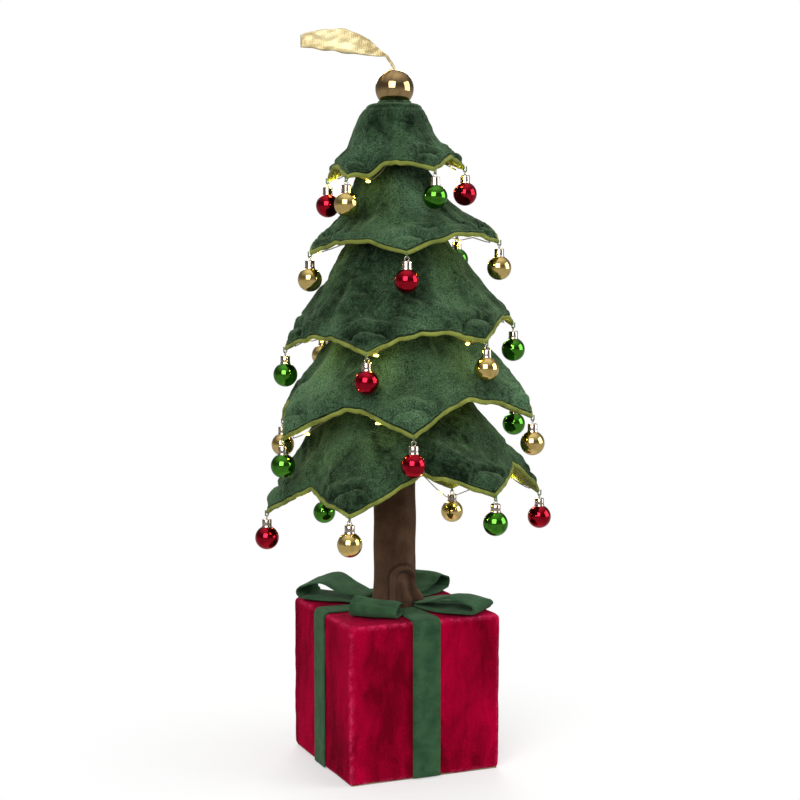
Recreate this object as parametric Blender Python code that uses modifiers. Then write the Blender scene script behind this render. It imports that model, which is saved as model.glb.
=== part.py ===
"""Fabric christmas tree: five padded velvet tiers with star hems on a felt trunk in a gift box.

Metres, +Z up. The origin is the centre of the gift box's underside, and the box's front faces -Y.
Directions round the tree are angles from the front, positive towards +X.
"""
import math

import bmesh
import bpy
import numpy as np
from mathutils import Vector

# Running gap between pieces that touch, and how far a cutter overruns what it cuts
GAP = 0.0003
OVERRUN = 0.002

# Gift box: a velvet cover over a foam block, closed below by a board
BOX_WIDTH = 0.127
BOX_DEPTH = 0.127
BOX_HEIGHT = 0.124
BOX_EDGE_RADIUS = 0.005
BOX_COVER_WALL = 0.0018
BOARD_THICKNESS = 0.003

# Felt strips on the box
STRIP_WIDTH = 0.023
STRIP_THICKNESS = 0.0012
STRIP_CLEAR_OF_FLOOR = 0.001

# Bow: four felt loops on the box top
LOOP_THICKNESS = 0.0014
LOOP_WIDTH = 0.038
LOOP_ROOT_WIDTH = 0.016
LOOP_LENGTHS = (0.078, 0.076, 0.080, 0.060)
LOOP_HEIGHTS = (0.0125, 0.0165, 0.0165, 0.0125)
LOOP_DIRECTIONS_DEG = (41.3, 135.0, 222.6, -39.5)
LOOP_NAMES = ("front_right", "back_right", "back_left", "front_left")
LOOP_TILTS_DEG = (-6.0, 0.0, -5.0, -8.0)

# Trunk: dowel, foam sleeve with a wire groove down its back, felt cover
POLE_RADIUS = 0.006
PADDING_RADIUS = 0.0150
FELT_THICKNESS = 0.0015
FOOT_FLARE = 0.0016
FOOT_FLARE_HEIGHT = 0.022
GROOVE_WIDTH = 0.0040
GROOVE_DEPTH = 0.0036
SLIT_LENGTH = 0.012
FOLD_RADIUS = 0.0024
FOLD_HEIGHT = 0.030
FOLD_HALF_ANGLE_DEG = 13.0
FOLD_DIRECTION_DEG = 16.0

# Tiers, from the top one down
TIER_POINTS = (5, 5, 6, 6, 6)
TIER_TOP_HEIGHT = (0.5195, 0.4820, 0.4540, 0.4100, 0.3450)
TIER_TIP_HEIGHT = (0.4700, 0.4145, 0.3430, 0.2775, 0.2135)
TIER_TIP_RADIUS = (0.0545, 0.0740, 0.0905, 0.1078, 0.1078)
TIER_HEM_WAVE = (0.0080, 0.0090, 0.0110, 0.0200, 0.0220)
TIER_VALLEY_INSET = (0.0100, 0.0090, 0.0100, 0.0195, 0.0190)
TIER_FIRST_POINT_DEG = (-62.5, -21.4, -38.9, -19.1, -44.8)
TIER_TIP_FLARE_SHARE = (0.50, 0.45, 0.27, 0.25, 0.10)
TIER_VALLEY_FLARE_SHARE = (0.60, 0.74, 0.25, 0.35, 0.05)
TIER_CURL_SHARE = (0.10, 0.0, 0.0, 0.0, 0.0)
TIER_ROUND_VALLEY_SHARE = (1.0, 1.0, 1.0, 0.8, 0.15)
TIER_LEAN_RIGHT_SHARE = (0.088, 0.085, 0.098, 0.088, 0.034)
TIER_LEAN_BACK_SHARE = (-0.017, 0.050, 0.042, -0.003, -0.082)
TIER_SHIFT_RIGHT = (0.0, 0.0065, 0.0045, 0.0062, 0.0071)
TIER_SHIFT_FRONT = (0.0, 0.0027, 0.0019, 0.0026, 0.0030)
TIER_WARP = (0.0, 0.0, 0.0, 0.0, 0.0050)
WARP_DIRECTION_DEG = 15.0

# Cloth of a tier: backing, wadding that puffs it out, lining, and the lining's edge below the hem
BACKING = 0.0012
TIER_WADDING = (0.0022, 0.0018, 0.0022, 0.0028, 0.0026)
LINING = 0.0012
LINING_GAP = 0.0004
LINING_EDGE = 0.0040
DIMPLE_SHARE = 0.85
TIP_PUFF_SHARE = 0.55
HEM_PUFF_SHARE = 0.45
SAMPLES_PER_POINT = 6
OUTER_SHARES = (0.0, 0.3, 0.6, 0.77, 0.9, 1.0)
INNER_SHARES = (0.0, 0.3, 0.7, 1.0)
LINING_START_SHARES = (0.14, 0.24, 0.14, 0.14, 0.14)

# Collar of the top tier, in which the ball sits
COLLAR_HEIGHT = 0.0032
COLLAR_WALL = 0.0016
SHOULDER_RADIUS = 0.0222
SHOULDER_DROP = 0.0030

# Top ball and its ribbon
BALL_RADIUS = 0.0150
BALL_RISE_SHARE = 0.72
RIBBON_STEM_RADIUS = 0.0011
RIBBON_THICKNESS = 0.0005
RIBBON_SPREAD = 0.0011
RIBBON_TURN_DEG = -22.9

# Baubles, each on a thread loop under a tip
BAUBLE_RADIUS = 0.0094
BAUBLE_DROP = 0.0170
CAP_RADIUS = 0.0037
CAP_TOP_DROP = 0.0020
RING_RADIUS = 0.0017
RING_WIRE = 0.00035
THREAD_RADIUS = 0.0005
THREAD_DROP = 0.0027
BAUBLE_STEPS = 8

# Light string: one wire from the battery case up the groove and round every hem
WIRE_RADIUS = 0.0004
LED_RADIUS = 0.0015
LED_HALF_LENGTH = 0.0024
WIRE_EDGE_SHARE = 0.2
LED_DROP = 0.0025
WIRE_CLEARANCE = 0.0009
WIRE_SAG = 0.007
WIRE_SAG_FROM_DEG = -16.0
WIRE_SAG_TO_DEG = 10.0
WIRE_LANE = 0.0030
LED_DIRECTIONS_DEG = (
    (-41.0, 49.0, 107.0, 150.0, 227.0),
    (22.0, 82.0, 142.0, 202.0, 262.0),
    (-73.0, -35.0, 15.0, 57.0, 117.0, 155.0, 222.0),
    (-67.0, -34.0, 5.0, 62.0, 127.0, 195.0, 242.0),
    (-75.0, -7.0, 45.0, 105.0, 158.0, 227.0),
)

# Battery case in the box's underside, two AA cells, its cover and the slide switch
CELL_RADIUS = 0.00725
CELL_LENGTH = 0.0505
CELL_CLEARANCE = 0.0006
CASE_WALL = 0.0015
CASE_TO_BOX_EDGE = 0.0136
COVER_THICKNESS = 0.0020
COVER_RECESS = 0.0008
COVER_RIM = 0.0030
SWITCH_BAY = 0.0140
SWITCH_PLATE = 0.0015
SWITCH_KNOB_LENGTH = 0.0040
SWITCH_KNOB_WIDTH = 0.0030
SWITCH_TRAVEL = 0.0030

# Colours: base colour, roughness, metallic
FINISHES = {
    "green_velvet": ((0.030, 0.085, 0.040), 0.95, 0.0),
    "lime_felt": ((0.300, 0.360, 0.070), 0.95, 0.0),
    "crimson_velvet": ((0.330, 0.002, 0.022), 0.9, 0.0),
    "green_felt": ((0.035, 0.130, 0.055), 0.9, 0.0),
    "brown_felt": ((0.055, 0.028, 0.016), 0.95, 0.0),
    "foam": ((0.80, 0.80, 0.76), 0.9, 0.0),
    "board": ((0.30, 0.22, 0.14), 0.9, 0.0),
    "wood": ((0.50, 0.34, 0.18), 0.6, 0.0),
    "gold": ((0.75, 0.50, 0.18), 0.12, 1.0),
    "red": ((0.60, 0.010, 0.030), 0.12, 1.0),
    "green": ((0.020, 0.260, 0.020), 0.12, 1.0),
    "gold_ribbon": ((0.70, 0.58, 0.30), 0.4, 0.6),
    "wire": ((0.60, 0.58, 0.50), 0.3, 1.0),
    "plastic": ((0.85, 0.85, 0.82), 0.4, 0.0),
    "cell": ((0.10, 0.10, 0.11), 0.35, 0.6),
}
BAUBLE_FINISHES = (
    ("gold", "green", "red", "green", "red"),
    ("red", "gold", "green", "red", "gold"),
    ("red", "gold", "green", "red", "gold", "green"),
    ("red", "gold", "green", "red", "gold", "green"),
    ("gold", "green", "red", "gold", "green", "red"),
)

BOARD_TOP = BOARD_THICKNESS
TRUNK_RADIUS = PADDING_RADIUS + GAP + FELT_THICKNESS
TRUNK_TOP = TIER_TOP_HEIGHT[0] - BACKING / 2 - GAP
TREE_TOP = TIER_TOP_HEIGHT[0] + SHOULDER_DROP
BALL_HEIGHT = TREE_TOP + BALL_RADIUS * BALL_RISE_SHARE
TRUNK_FOOT = BOX_HEIGHT + GAP
FOOT_RADIUS = TRUNK_RADIUS + FOOT_FLARE
WIRE_Y = PADDING_RADIUS - GROOVE_DEPTH / 2
POCKET_LENGTH = CELL_LENGTH + 2 * CELL_CLEARANCE
POCKET_WIDTH = 4 * CELL_RADIUS + 3 * CELL_CLEARANCE
CASE_FLOOR = BOARD_TOP + GAP
CASE_TOP = CASE_FLOOR + 2 * CELL_RADIUS + 2 * CELL_CLEARANCE + CASE_WALL
CASE_LENGTH = POCKET_LENGTH + SWITCH_BAY + 3 * CASE_WALL
CASE_WIDTH = POCKET_WIDTH + 2 * CASE_WALL
CASE_CENTRE_Y = BOX_DEPTH / 2 - CASE_TO_BOX_EDGE - CASE_WIDTH / 2
POCKET_X = (SWITCH_BAY + CASE_WALL) / 2
SWITCH_X = -CASE_LENGTH / 2 + CASE_WALL + SWITCH_BAY / 2


# Shares of the small forms, each of the size that is named with it where it is used.
LOOP_TURN_SHARE = 0.62
LOOP_CREST_SHARE = 0.62
LOOP_BACK_SHARE = 0.36
LOOP_OPEN_SHARE = 0.45
FLARE_WAIST_SHARE = 0.3
FLARE_RISE_SHARE = 0.4
FOLD_LIFT_SHARE = 1.2
NUB_WIDTH_SHARE = 0.38
NUB_LENGTH_SHARE = 0.02
RIBBON_TURN_SHARE = 0.8
TIP_NUDGE_SHARE = 0.004
LED_CLEAR_SHARE = 1.6
LOOP_STOP_SHARES = (0.45, 0.6, 0.75, 0.9)

# Distances within which points of one surface are one point.
WELD = 0.00001
CAP_WELD = 0.000001


def reset_scene():
    """Removes what the scene holds and makes the two collections."""
    for obj in list(bpy.data.objects):
        bpy.data.objects.remove(obj, do_unlink=True)
    parts = bpy.data.collections.new("fabric_christmas_tree")
    cutters = bpy.data.collections.new("cutters")
    for collection in (parts, cutters):
        bpy.context.scene.collection.children.link(collection)
    return parts, cutters


PARTS, CUTTERS = reset_scene()


def make_finish(name):
    """Colour, roughness and metal of one finish."""
    colour, roughness, metallic = FINISHES[name]
    finish = bpy.data.materials.new(name)
    finish.use_nodes = True
    shader = finish.node_tree.nodes["Principled BSDF"]
    shader.inputs["Base Color"].default_value = (*colour, 1.0)
    shader.inputs["Roughness"].default_value = roughness
    shader.inputs["Metallic"].default_value = metallic
    finish.diffuse_color = (*colour, 1.0)
    return finish


MATERIALS = {name: make_finish(name) for name in FINISHES}


def add_object(name, data, finish, place=(0.0, 0.0, 0.0), turn=0.0):
    """A piece of the tree in its finish, or a hollow to be cut out where finish is None."""
    obj = bpy.data.objects.new(name, data)
    obj.location = place
    obj.rotation_euler = (0.0, 0.0, turn)
    if finish is None:
        CUTTERS.objects.link(obj)
        obj.hide_render = True
        obj.display_type = "WIRE"
    else:
        PARTS.objects.link(obj)
        if not data.materials:
            data.materials.append(MATERIALS[finish])
    return obj


def mesh_from(name, points, faces):
    """Closed surface of points and faces, facing outwards."""
    mesh = bpy.data.meshes.new(name)
    mesh.from_pydata([tuple(map(float, p)) for p in points], [], faces)
    shape = bmesh.new()
    shape.from_mesh(mesh)
    bmesh.ops.recalc_face_normals(shape, faces=shape.faces)
    shape.to_mesh(mesh)
    shape.free()
    return mesh


def block_mesh(name, low, high):
    """Square block between its lowest and highest corner."""
    shape = bmesh.new()
    bmesh.ops.create_cube(shape, size=1.0)
    low, high = Vector(low), Vector(high)
    size, centre = high - low, (low + high) / 2
    for vert in shape.verts:
        vert.co = Vector(a * b for a, b in zip(vert.co, size)) + centre
    mesh = bpy.data.meshes.new(name)
    shape.to_mesh(mesh)
    shape.free()
    return mesh


def rod_mesh(name, radius, low, high, x=0.0, y=0.0, sides=16):
    """Upright cylinder."""
    shape = bmesh.new()
    bmesh.ops.create_cone(shape, cap_ends=True, segments=sides, radius1=radius, radius2=radius,
                          depth=high - low)
    bmesh.ops.translate(shape, verts=shape.verts, vec=(x, y, (low + high) / 2))
    mesh = bpy.data.meshes.new(name)
    shape.to_mesh(mesh)
    shape.free()
    return mesh


def turned(name, profile, finish, steps, closed=False, place=(0.0, 0.0, 0.0)):
    """Round piece: its profile at +X, top to bottom down the outer side, turned once round Z."""
    count = len(profile)
    edges = [(i, i + 1) for i in range(count - 1)]
    if closed:
        edges.append((count - 1, 0))
    mesh = bpy.data.meshes.new(name)
    mesh.from_pydata([(r, 0.0, z) for r, z in profile], edges, [])
    obj = add_object(name, mesh, finish, place)
    screw = obj.modifiers.new("turn", "SCREW")
    screw.steps = steps
    screw.render_steps = steps
    screw.use_merge_vertices = True
    screw.merge_threshold = WELD
    screw.use_smooth_shade = True
    return obj


def tube(name, points, radius, finish, sides_level=1, radii=None, closed=False):
    """Wire of round section through the points, with filled ends."""
    curve = bpy.data.curves.new(name, "CURVE")
    curve.dimensions = "3D"
    curve.bevel_depth = radius
    curve.bevel_resolution = sides_level
    curve.use_fill_caps = True
    spline = curve.splines.new("POLY")
    spline.points.add(len(points) - 1)
    for i, point in enumerate(points):
        spline.points[i].co = (*map(float, point), 1.0)
        spline.points[i].radius = 1.0 if radii is None else radii[i]
    spline.use_cyclic_u = closed
    return add_object(name, curve, finish)


def as_mesh(obj, finish):
    """The piece as one closed surface, with its ends welded on."""
    graph = bpy.context.evaluated_depsgraph_get()
    mesh = bpy.data.meshes.new_from_object(obj.evaluated_get(graph))
    name, matrix = obj.name, obj.matrix_world.copy()
    bpy.data.objects.remove(obj, do_unlink=True)
    shape = bmesh.new()
    shape.from_mesh(mesh)
    bmesh.ops.remove_doubles(shape, verts=shape.verts, dist=CAP_WELD)
    bmesh.ops.recalc_face_normals(shape, faces=shape.faces)
    shape.to_mesh(mesh)
    shape.free()
    mesh.materials.clear()
    new = add_object(name, mesh, finish)
    new.matrix_world = matrix
    return new


def combine(obj, other, operation):
    """One piece joined with, or cut by, another."""
    step = obj.modifiers.new(other.name, "BOOLEAN")
    step.operation = operation
    step.object = other
    return obj


def cut(obj, mesh):
    """Cuts a mesh out of an object."""
    return combine(obj, add_object(mesh.name, mesh, None), "DIFFERENCE")


def direction(angle):
    """Unit vector round the tree: zero is the front (-Y), positive towards +X."""
    return np.stack([np.sin(angle), -np.cos(angle), np.zeros_like(angle)], -1)


def polar(radius, angle, height):
    """Point at a radius, an angle from the front in radians and a height."""
    return np.array([radius * math.sin(angle), -radius * math.cos(angle), height])


class Tier:
    """Star-hemmed skirt: a cone from the trunk to a zigzag hem, leaning a little as a whole."""

    def __init__(self, level):
        self.level = level
        self.points = TIER_POINTS[level]
        self.first = math.radians(TIER_FIRST_POINT_DEG[level])
        self.step = 2 * math.pi / self.points
        self.top = TIER_TOP_HEIGHT[level]
        self.top_radius = TRUNK_RADIUS + GAP + BACKING if level else SHOULDER_RADIUS
        self.angles = self.first + self.step / SAMPLES_PER_POINT * np.arange(self.points * SAMPLES_PER_POINT)

    def star(self, angle):
        """1 at a tip, 0 in a valley: sharp at the tip, round or sharp in the valley."""
        turn = ((angle - self.first) / self.step) % 1.0
        away = 2 * np.minimum(turn, 1 - turn)
        rounded = TIER_ROUND_VALLEY_SHARE[self.level]
        return 1 - ((1 - rounded) * away + rounded * np.sin(math.pi / 2 * away))

    def base(self, angle, share):
        """Inner face of the velvet at an angle and a share of the way from the top to the hem."""
        level = self.level
        star = self.star(angle)
        hem_radius = TIER_TIP_RADIUS[level] - TIER_VALLEY_INSET[level] * (1 - star)
        curl, valley = TIER_CURL_SHARE[level], TIER_VALLEY_FLARE_SHARE[level]
        flare = valley + (TIER_TIP_FLARE_SHARE[level] - valley) * star
        run = (1 - flare) * share + flare * share ** 3 - curl * np.sin(2 * math.pi * share) / (2 * math.pi)
        radius = self.top_radius + (hem_radius - self.top_radius) * run
        out = direction(angle)
        hem = TIER_TIP_HEIGHT[level] + TIER_HEM_WAVE[level] * (1 - star)
        hem = hem + hem_radius * out[..., 0] * TIER_LEAN_RIGHT_SHARE[level]
        hem = hem + hem_radius * out[..., 1] * TIER_LEAN_BACK_SHARE[level]
        hem = hem + TIER_WARP[level] * np.cos(2 * (angle - math.radians(WARP_DIRECTION_DEG)))
        point = out * radius[..., None]
        point[..., 2] = self.top + (hem - self.top) * share
        point[..., 0] += TIER_SHIFT_RIGHT[level] * share
        point[..., 1] -= TIER_SHIFT_FRONT[level] * share
        return point

    def frame(self, angle, share):
        """Point of the base face with its outward normal and its direction down towards the hem."""
        angle = np.asarray(angle, float)
        share = np.broadcast_to(np.asarray(share, float), angle.shape)
        nudge = TIP_NUDGE_SHARE
        down = self.base(angle, share + nudge) - self.base(angle, share - nudge)
        along = self.base(angle + nudge, share) - self.base(angle - nudge, share)
        down = down / np.linalg.norm(down, axis=-1, keepdims=True)
        normal = np.cross(down, along)
        normal = normal / np.linalg.norm(normal, axis=-1, keepdims=True)
        return self.base(angle, share), normal, down

    def puff(self, angle, share):
        """Thickness of the wadding: full on the slope, dimpled above each tip and puffed at the tip."""
        star = self.star(angle)
        full = np.clip(share / OUTER_SHARES[1], 0, 1)
        hem = np.clip((share - OUTER_SHARES[4]) / (OUTER_SHARES[5] - OUTER_SHARES[4]), 0, 1)
        dimple = np.clip(1 - abs(share - OUTER_SHARES[3]) / (OUTER_SHARES[4] - OUTER_SHARES[3]), 0, 1)
        tip = np.clip(1 - abs(share - OUTER_SHARES[4]) / (OUTER_SHARES[5] - OUTER_SHARES[4]), 0, 1)
        puffs = TIP_PUFF_SHARE * tip * star - DIMPLE_SHARE * dimple * star ** 2
        amount = full - (1 - HEM_PUFF_SHARE) * hem + puffs
        return TIER_WADDING[self.level] * amount


TIERS = [Tier(level) for level in range(len(TIER_POINTS))]


def ring_loft(name, sections, finish):
    """Closed ring from one closed section per angle: array of angles by section points by 3."""
    around, count = sections.shape[:2]
    faces = []
    for i in range(around):
        for j in range(count):
            here, nxt = i * count, (i + 1) % around * count
            k = (j + 1) % count
            faces.append((here + j, nxt + j, nxt + k, here + k))
    return mesh_from(name, sections.reshape(-1, 3), faces)


def tier_velvet(tier):
    """Padded velvet shell of a tier, from its seat round the trunk to the hem."""
    angle = tier.angles
    column = []
    for share in OUTER_SHARES:
        point, normal, _ = tier.frame(angle, share)
        column.append(point + normal * tier.puff(angle, share)[:, None])
    for share in reversed(INNER_SHARES):
        point, normal, _ = tier.frame(angle, share)
        column.append(point - normal * BACKING)
    out = direction(angle)
    lift = np.array([0.0, 0.0, 1.0])
    if tier.level == 0:
        # The top tier closes over the trunk, with a flat top and a collar that holds the ball
        flat = TREE_TOP
        rim = flat + COLLAR_HEIGHT
        mouth = ball_radius_at(rim) + GAP
        under = tier.top - BACKING / 2
        hole = ball_radius_at(flat) + GAP
        turned_in = [(hole, under), (mouth, rim), (mouth + COLLAR_WALL, rim), (mouth + COLLAR_WALL, flat),
                     (SHOULDER_RADIUS - SHOULDER_DROP / 2, flat)]
        column[-1] = out * (SHOULDER_RADIUS - BACKING) + lift * under
        column += [out * radius + lift * height for radius, height in turned_in]
    else:
        column[-1] = out * (TRUNK_RADIUS + GAP) + lift * (tier.top - BACKING)
    mesh = ring_loft(f"tier_{tier.level + 1}_velvet", np.stack(column, 1), "green_velvet")
    return add_object(mesh.name, mesh, "green_velvet")


def ball_radius_at(height):
    """Radius of the top ball's section at a height."""
    return math.sqrt(BALL_RADIUS ** 2 - (BALL_HEIGHT - height) ** 2)


def tier_lining(tier):
    """Lining inside a tier, whose thick edge wraps the velvet's hem, with a thread loop at each tip."""
    angle = tier.angles
    shares = (LINING_START_SHARES[tier.level],) + INNER_SHARES[1:]
    outside, inside = BACKING + LINING_GAP, BACKING + LINING_GAP + LINING
    column = []
    for share in shares:
        point, normal, down = tier.frame(angle, share)
        if share == 1.0:
            point = point + down * (LINING_GAP + LINING_EDGE)
        column.append(point - normal * inside)
    point, normal, down = tier.frame(angle, 1.0)
    face = tier.puff(angle, 1.0)[:, None] * normal
    column.append(point + face + down * (LINING_GAP + LINING_EDGE))
    column.append(point + face + down * LINING_GAP)
    column.append(point - normal * outside + down * LINING_GAP)
    for share in reversed(shares[:-1]):
        point, normal, down = tier.frame(angle, share)
        column.append(point - normal * outside)
    mesh = ring_loft(f"tier_{tier.level + 1}_lining", np.stack(column, 1), "lime_felt")
    lining = add_object(mesh.name, mesh, "lime_felt")
    for index in range(tier.points):
        loop = thread_loop(tier, index)
        CUTTERS.objects.link(loop)
        PARTS.objects.unlink(loop)
        loop.hide_render = True
        loop.display_type = "WIRE"
        combine(lining, loop, "UNION")
    return lining


def pivot(tier, index):
    """Point that a bauble swings on: just under the edge of the lining at a tip, with the tip's angle."""
    angle = tier.first + tier.step * index
    point, normal, down = tier.frame(np.array([angle]), 1.0)
    middle = (tier.puff(np.array([angle]), 1.0)[0] - BACKING - LINING_GAP - LINING) / 2
    edge = point[0] + normal[0] * middle + down[0] * (LINING_GAP + LINING_EDGE)
    return edge - np.array([0.0, 0.0, THREAD_DROP]), angle


def thread_loop(tier, index):
    """U of thread under a tip: its bar lies along the swing axis, which points out from the trunk."""
    centre, angle = pivot(tier, index)
    along = direction(np.array([angle]))[0]
    up = np.array([0.0, 0.0, 1.0])
    half = RING_WIRE + GAP + THREAD_RADIUS
    legs = THREAD_DROP + LINING_EDGE / 2
    points = [centre - along * half + up * legs, centre - along * half,
              centre + along * half, centre + along * half + up * legs]
    loop = tube(f"thread_{tier.level + 1}_{index + 1}", points, THREAD_RADIUS, "green_velvet", 0)
    return as_mesh(loop, "green_velvet")


def bauble_mesh():
    """Ball, cap and wire ring in one, hung from the origin. The ring stands across the swing axis, Y."""
    join = math.asin(CAP_RADIUS / BAUBLE_RADIUS)
    bands = 5
    profile = [(0.0, -CAP_TOP_DROP), (CAP_RADIUS, -CAP_TOP_DROP)]
    for k in range(bands + 2):
        angle = join + (math.pi - join) * k / (bands + 1)
        profile.append((BAUBLE_RADIUS * math.sin(angle), -BAUBLE_DROP + BAUBLE_RADIUS * math.cos(angle)))
    profile[-1] = (0.0, -BAUBLE_DROP - BAUBLE_RADIUS)
    body = as_mesh(turned("bauble_body", profile, "gold", BAUBLE_STEPS), "gold")
    ring_top = THREAD_RADIUS + GAP + RING_WIRE
    sides = 6
    turns = [2 * math.pi * (k + 0.5) / sides for k in range(sides)]
    centre = ring_top - RING_RADIUS
    points = [(RING_RADIUS * math.sin(a), 0.0, centre + RING_RADIUS * math.cos(a)) for a in turns]
    ring = as_mesh(tube("bauble_ring", points, RING_WIRE, "gold", 0, closed=True), "gold")
    combine(body, ring, "UNION")
    graph = bpy.context.evaluated_depsgraph_get()
    mesh = bpy.data.meshes.new_from_object(body.evaluated_get(graph))
    for scrap in (body, ring):
        bpy.data.objects.remove(scrap, do_unlink=True)
    mesh.name = "bauble"
    mesh.materials.clear()
    return mesh


def baubles():
    """One bauble under each tip, its origin on its joint's axis."""
    master = bauble_mesh()
    for tier in TIERS:
        for index in range(tier.points):
            place, angle = pivot(tier, index)
            mesh = master.copy()
            add_object(f"bauble_{tier.level + 1}_{index + 1}", mesh,
                       BAUBLE_FINISHES[tier.level][index], place, angle)


def gift_box():
    """Velvet cover, open below, over a foam block and a board."""
    half = Vector((BOX_WIDTH / 2, BOX_DEPTH / 2, 0.0))
    top = Vector((0.0, 0.0, BOX_HEIGHT))
    mesh = block_mesh("gift_box_cover", -half, half + top)
    shape = bmesh.new()
    shape.from_mesh(mesh)
    edges = [e for e in shape.edges if max(v.co.z for v in e.verts) > BOX_HEIGHT / 2]
    bmesh.ops.bevel(shape, geom=edges, offset=BOX_EDGE_RADIUS, segments=3, profile=0.5, affect="EDGES")
    shape.to_mesh(mesh)
    shape.free()
    cover = add_object(mesh.name, mesh, "crimson_velvet")
    wall = Vector((BOX_COVER_WALL, BOX_COVER_WALL, 0.0))
    below = Vector((0.0, 0.0, -OVERRUN))
    roof = top - Vector((0, 0, BOX_COVER_WALL))
    cut(cover, block_mesh("cover_hollow", -half + wall + below, half - wall + roof))
    cut(cover, rod_mesh("cover_pole_hole", POLE_RADIUS + GAP, BOX_HEIGHT - BOX_COVER_WALL - OVERRUN,
                        BOX_HEIGHT + OVERRUN))
    cut(cover, rod_mesh("cover_wire_hole", GROOVE_WIDTH / 2, BOX_HEIGHT - BOX_COVER_WALL - OVERRUN,
                        BOX_HEIGHT + OVERRUN, y=WIRE_Y, sides=8))

    inner = half - wall - Vector((GAP, GAP, 0.0))
    core_low = Vector((0.0, 0.0, BOARD_TOP + GAP))
    core_high = Vector((0.0, 0.0, BOX_HEIGHT - BOX_COVER_WALL - GAP))
    core = add_object("box_core", block_mesh("box_core", -inner + core_low, inner + core_high), "foam")
    cut(core, rod_mesh("core_pole_hole", POLE_RADIUS + GAP, BOARD_TOP - OVERRUN, BOX_HEIGHT + OVERRUN))
    cut(core, rod_mesh("core_wire_hole", GROOVE_WIDTH / 2, CASE_TOP, BOX_HEIGHT + OVERRUN, y=WIRE_Y, sides=8))
    room = Vector((CASE_LENGTH / 2 + GAP, CASE_WIDTH / 2 + GAP, 0.0))
    centre = Vector((0.0, CASE_CENTRE_Y, 0.0))
    cut(core, block_mesh("core_pocket", centre - room + Vector((0, 0, BOARD_TOP - OVERRUN)),
                         centre + room + Vector((0, 0, CASE_TOP + GAP))))

    sheet = block_mesh("base_board", -inner, inner + Vector((0, 0, BOARD_TOP)))
    board = add_object("base_board", sheet, "board")
    window = Vector((POCKET_LENGTH / 2 + COVER_RIM, POCKET_WIDTH / 2, 0.0))
    centre = Vector((POCKET_X, CASE_CENTRE_Y, 0.0))
    through = Vector((0, 0, OVERRUN))
    high = Vector((0, 0, BOARD_TOP)) + through
    cut(board, block_mesh("board_window", centre - window - through, centre + window + high))
    slot = Vector(((SWITCH_KNOB_LENGTH + SWITCH_TRAVEL) / 2 + GAP, SWITCH_KNOB_WIDTH / 2 + GAP, 0.0))
    middle = Vector((SWITCH_X, CASE_CENTRE_Y, 0.0))
    cut(board, block_mesh("board_slot", middle - slot - through, middle + slot + high))


def battery_parts():
    """Case that opens downwards, two cells, the cover that lifts off and the slide switch."""
    size = Vector((CASE_LENGTH / 2, CASE_WIDTH / 2, 0.0))
    centre = Vector((0.0, CASE_CENTRE_Y, 0.0))
    low, high = Vector((0, 0, CASE_FLOOR)), Vector((0, 0, CASE_TOP))
    shell = block_mesh("battery_case", centre - size + low, centre + size + high)
    case = add_object("battery_case", shell, "plastic")
    ceiling = Vector((0, 0, CASE_TOP - CASE_WALL))
    below = Vector((0, 0, CASE_FLOOR - OVERRUN))
    pocket = Vector((POCKET_LENGTH / 2, POCKET_WIDTH / 2, 0.0))
    middle = Vector((POCKET_X, CASE_CENTRE_Y, 0.0))
    cut(case, block_mesh("case_pocket", middle - pocket + below, middle + pocket + ceiling))
    bay = Vector((SWITCH_BAY / 2, SWITCH_BAY / 2, 0.0))
    spot = Vector((SWITCH_X, CASE_CENTRE_Y, 0.0))
    cut(case, block_mesh("case_switch_bay", spot - bay + below, spot + bay + ceiling))

    for index, side in enumerate((-1, 1)):
        cell = turned(f"battery_{index + 1}", cell_profile(), "cell", 12)
        cell.rotation_euler = (0.0, side * math.pi / 2, 0.0)
        cell.location = (POCKET_X, CASE_CENTRE_Y + side * (CELL_RADIUS + CELL_CLEARANCE / 2),
                         CASE_FLOOR + CELL_RADIUS + CELL_CLEARANCE)

    plate = Vector((POCKET_LENGTH / 2 + COVER_RIM - GAP, POCKET_WIDTH / 2 - GAP, 0.0))
    lid_low, lid_high = Vector((0, 0, COVER_RECESS)), Vector((0, 0, COVER_RECESS + COVER_THICKNESS))
    lid = add_object("battery_cover", block_mesh("battery_cover", middle - plate + lid_low,
                                                 middle + plate + lid_high), "plastic")
    notch = Vector((COVER_RIM / 2, POCKET_WIDTH / 4, 0.0))
    edge = middle + Vector((plate.x - COVER_RIM, 0.0, 0.0))
    cut(lid, block_mesh("lid_finger_notch", edge - notch, edge + notch + Vector((0, 0, COVER_RECESS * 2))))

    knob = Vector((SWITCH_KNOB_LENGTH / 2, SWITCH_KNOB_WIDTH / 2, 0.0))
    start = spot - Vector((SWITCH_TRAVEL / 2, 0.0, 0.0))
    slider = add_object("switch_slider", block_mesh("switch_slider", start - knob + Vector((0, 0, COVER_RECESS)),
                                                    start + knob + Vector((0, 0, CASE_FLOOR + SWITCH_PLATE))),
                        "plastic")
    wide = Vector((SWITCH_BAY / 2 - SWITCH_TRAVEL, SWITCH_BAY / 2 - CASE_WALL, 0.0))
    plate_mesh = block_mesh("slider_plate", start - wide + Vector((0, 0, CASE_FLOOR)),
                            start + wide + Vector((0, 0, CASE_FLOOR + SWITCH_PLATE)))
    combine(slider, add_object("slider_plate", plate_mesh, None), "UNION")


def cell_profile():
    """Half section of an AA cell, standing on the origin's middle, with its contact nub on top."""
    nub_radius, nub_height = CELL_RADIUS * NUB_WIDTH_SHARE, CELL_LENGTH * NUB_LENGTH_SHARE
    top, bottom = CELL_LENGTH / 2, -CELL_LENGTH / 2
    return [(0.0, top), (nub_radius, top), (nub_radius, top - nub_height), (CELL_RADIUS, top - nub_height),
            (CELL_RADIUS, bottom), (0.0, bottom)]


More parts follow.
